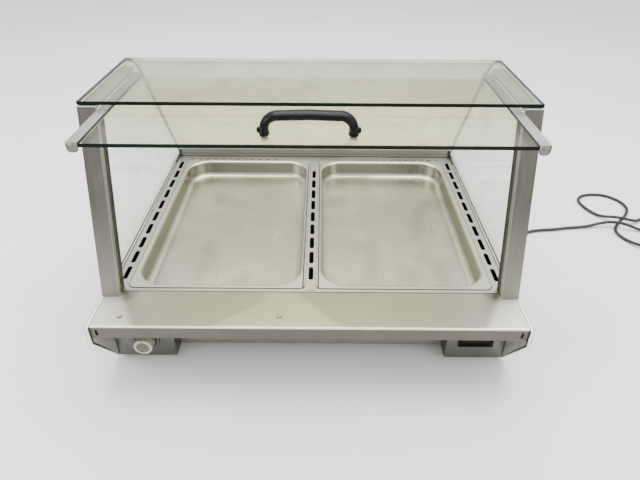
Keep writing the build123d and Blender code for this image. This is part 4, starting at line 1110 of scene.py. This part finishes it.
# Tab steel is painted darker than the rail's: shade on the folded-down face.
shaded_tab_steel = steel("shaded_tab_steel", (0.20, 0.197, 0.18), "X", rough=0.42, stain=0.3, blotch=60)
for hand, side in ((-1, "left"), (1, "right")):
    rail_low, rail_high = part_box("flap_rail_" + side)
    bm = bmesh.new()
    near, far = rail_low.y - 0.0006, rail_low.y + 0.0007
    left, right, top = rail_low.x + tab_inset, rail_high.x - tab_inset, rail_high.z - tab_inset
    outline = [(left, top)]
    for side_x, turn in ((left + tab_round, pi), (right - tab_round, 1.5 * pi)):
        for k in range(6):
            a = turn + pi / 2 * k / 5
            z = rail_high.z - tab_drop + tab_round * (1 + sin(a))
            outline.append((side_x + tab_round * cos(a), z))
    outline.append((right, top))
    slab(bm, [(x, near, z) for x, z in outline], [(x, far, z) for x, z in outline])
    bmesh.ops.bevel(bm, geom=list(bm.edges), offset=0.0003, segments=2, affect="EDGES")
    bmesh.ops.recalc_face_normals(bm, faces=bm.faces)
    tab = piece_from("rail_end_" + side, bm, shaded_tab_steel, "flap")

# Handle: a glossy black moulded bow of oval section, with a round boss at the side of each foot.
# Two screws hold it through the glass from below, and its grip is polished by use.

handle_black, place, surface = new_finish("handle_black")
wear = place.noise(70, 5.0, 0.7)
paint(
    surface,
    {
        "Base Color": wear.mask(0.6, 0.85).blend((0.004, 0.004, 0.004), (0.020, 0.019, 0.018)),
        "Roughness": 0.24 + wear.mask(0.45, 0.8) * 0.16,
        "Normal": place.noise(60, 2.0).bump(0.0006, 0.12),
    },
)
surface.inputs["Specular IOR Level"].default_value = 0.13
give(handle_black, "flap_handle")
give(screw_steel, "handle_screws")

# Mains lead: a black rubber-sheathed cord, 8 mm thick, from a gland in the rear panel round the
# side of the case. It lies on the table in loose turns and ends in a moulded two-pin plug.

lead_black, place, surface = new_finish("lead_black")
chalk = place.noise(120, 5.0, 0.75)
paint(
    surface,
    {
        "Base Color": chalk.mask(0.55, 0.85).blend((0.010, 0.010, 0.011), (0.075, 0.072, 0.07)),
        "Roughness": 0.42 + chalk * 0.2,
        "Normal": place.noise(1600, 3.0).bump(0.0002, 0.3),
    },
)
give(lead_black, "cable_gland", "plug_body")

pin_metal, place, surface = new_finish("pin_metal")
rub = place.noise(400, 4.0, 0.7)
paint(
    surface,
    {
        "Base Color": rub.ramp((0.4, (0.62, 0.60, 0.55)), (0.75, (0.45, 0.40, 0.30))),
        "Metallic": 1.0,
        "Roughness": 0.22 + rub * 0.2,
    },
)
give(pin_metal, "plug_pins")

lead_diameter = 0.008
gland_low, gland_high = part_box("cable_gland")
gland_x = (gland_low.x + gland_high.x) / 2
gland_z = (gland_low.z + gland_high.z) / 2
ground = lead_diameter / 2
hump = 2 * lead_diameter
plug_z = 0.0185
lead_route = [
    (gland_x, gland_high.y, gland_z),
    (gland_x, gland_high.y + 0.026, gland_z),
    (0.321, 0.430, 0.030),
    (0.334, 0.455, 0.016),
    (0.358, 0.470, 0.006),
    (0.386, 0.468, ground),
    (0.408, 0.450, ground),
    (0.417, 0.424, ground),
    (0.413, 0.388, ground),
    (0.408, 0.340, ground),
    (0.400, 0.255, ground),
    (0.404, 0.170, ground),
    (0.398, 0.105, ground),
    (0.392, 0.055, ground),
    (0.394, 0.017, ground),
    (0.404, -0.008, ground),
    (0.425, -0.024, ground),
    (0.452, -0.026, ground),
    (0.476, -0.013, ground),
    (0.489, 0.010, ground),
    (0.495, 0.058, ground),
    (0.512, 0.115, ground),
    (0.545, 0.157, ground),
    (0.590, 0.175, ground),
    (0.639, 0.179, ground),
    (0.680, 0.188, ground),
    (0.733, 0.194, ground),
    (0.775, 0.202, hump - 0.004),
    (0.807, 0.201, hump),
    (0.837, 0.190, hump - 0.001),
    (0.872, 0.176, ground),
    (0.926, 0.152, ground),
    (0.980, 0.154, ground),
    (1.014, 0.192, ground),
    (1.006, 0.240, ground),
    (0.963, 0.264, ground),
    (0.914, 0.244, ground),
    (0.880, 0.220, ground + 0.002),
    (0.852, 0.216, hump - 0.002),
    (0.824, 0.226, hump),
    (0.791, 0.247, ground),
    (0.769, 0.290, ground),
    (0.764, 0.334, ground),
    (0.786, 0.362, ground),
    (0.825, 0.372, ground),
    (0.861, 0.364, ground),
    (0.884, 0.338, ground),
    (0.892, 0.306, ground),
    (0.883, 0.276, ground),
    (0.863, 0.250, ground),
    (0.832, 0.218, ground),
    (0.808, 0.190, ground),
    (0.801, 0.166, ground),
    (0.806, 0.142, ground),
    (0.818, 0.121, ground + 0.001),
    (0.833, 0.100, ground + 0.005),
    (0.848, 0.079, plug_z),
    (0.862, 0.058, plug_z),
]
line = bpy.data.curves.new("mains_lead_line", "CURVE")
line.dimensions = "3D"
line.bevel_depth = lead_diameter / 2
line.bevel_resolution = 5
line.resolution_u = 10
line.use_fill_caps = True
thread = line.splines.new("NURBS")
thread.points.add(len(lead_route) - 1)
for point, at in zip(thread.points, lead_route):
    point.co = (*at, 1)
thread.order_u = 3
thread.use_endpoint_u = True
line.materials.append(lead_black)
mains_cord = bpy.data.objects.new("mains_cord", line)
bpy.context.collection.objects.link(mains_cord)
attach(mains_cord, "case")
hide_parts("mains_lead")
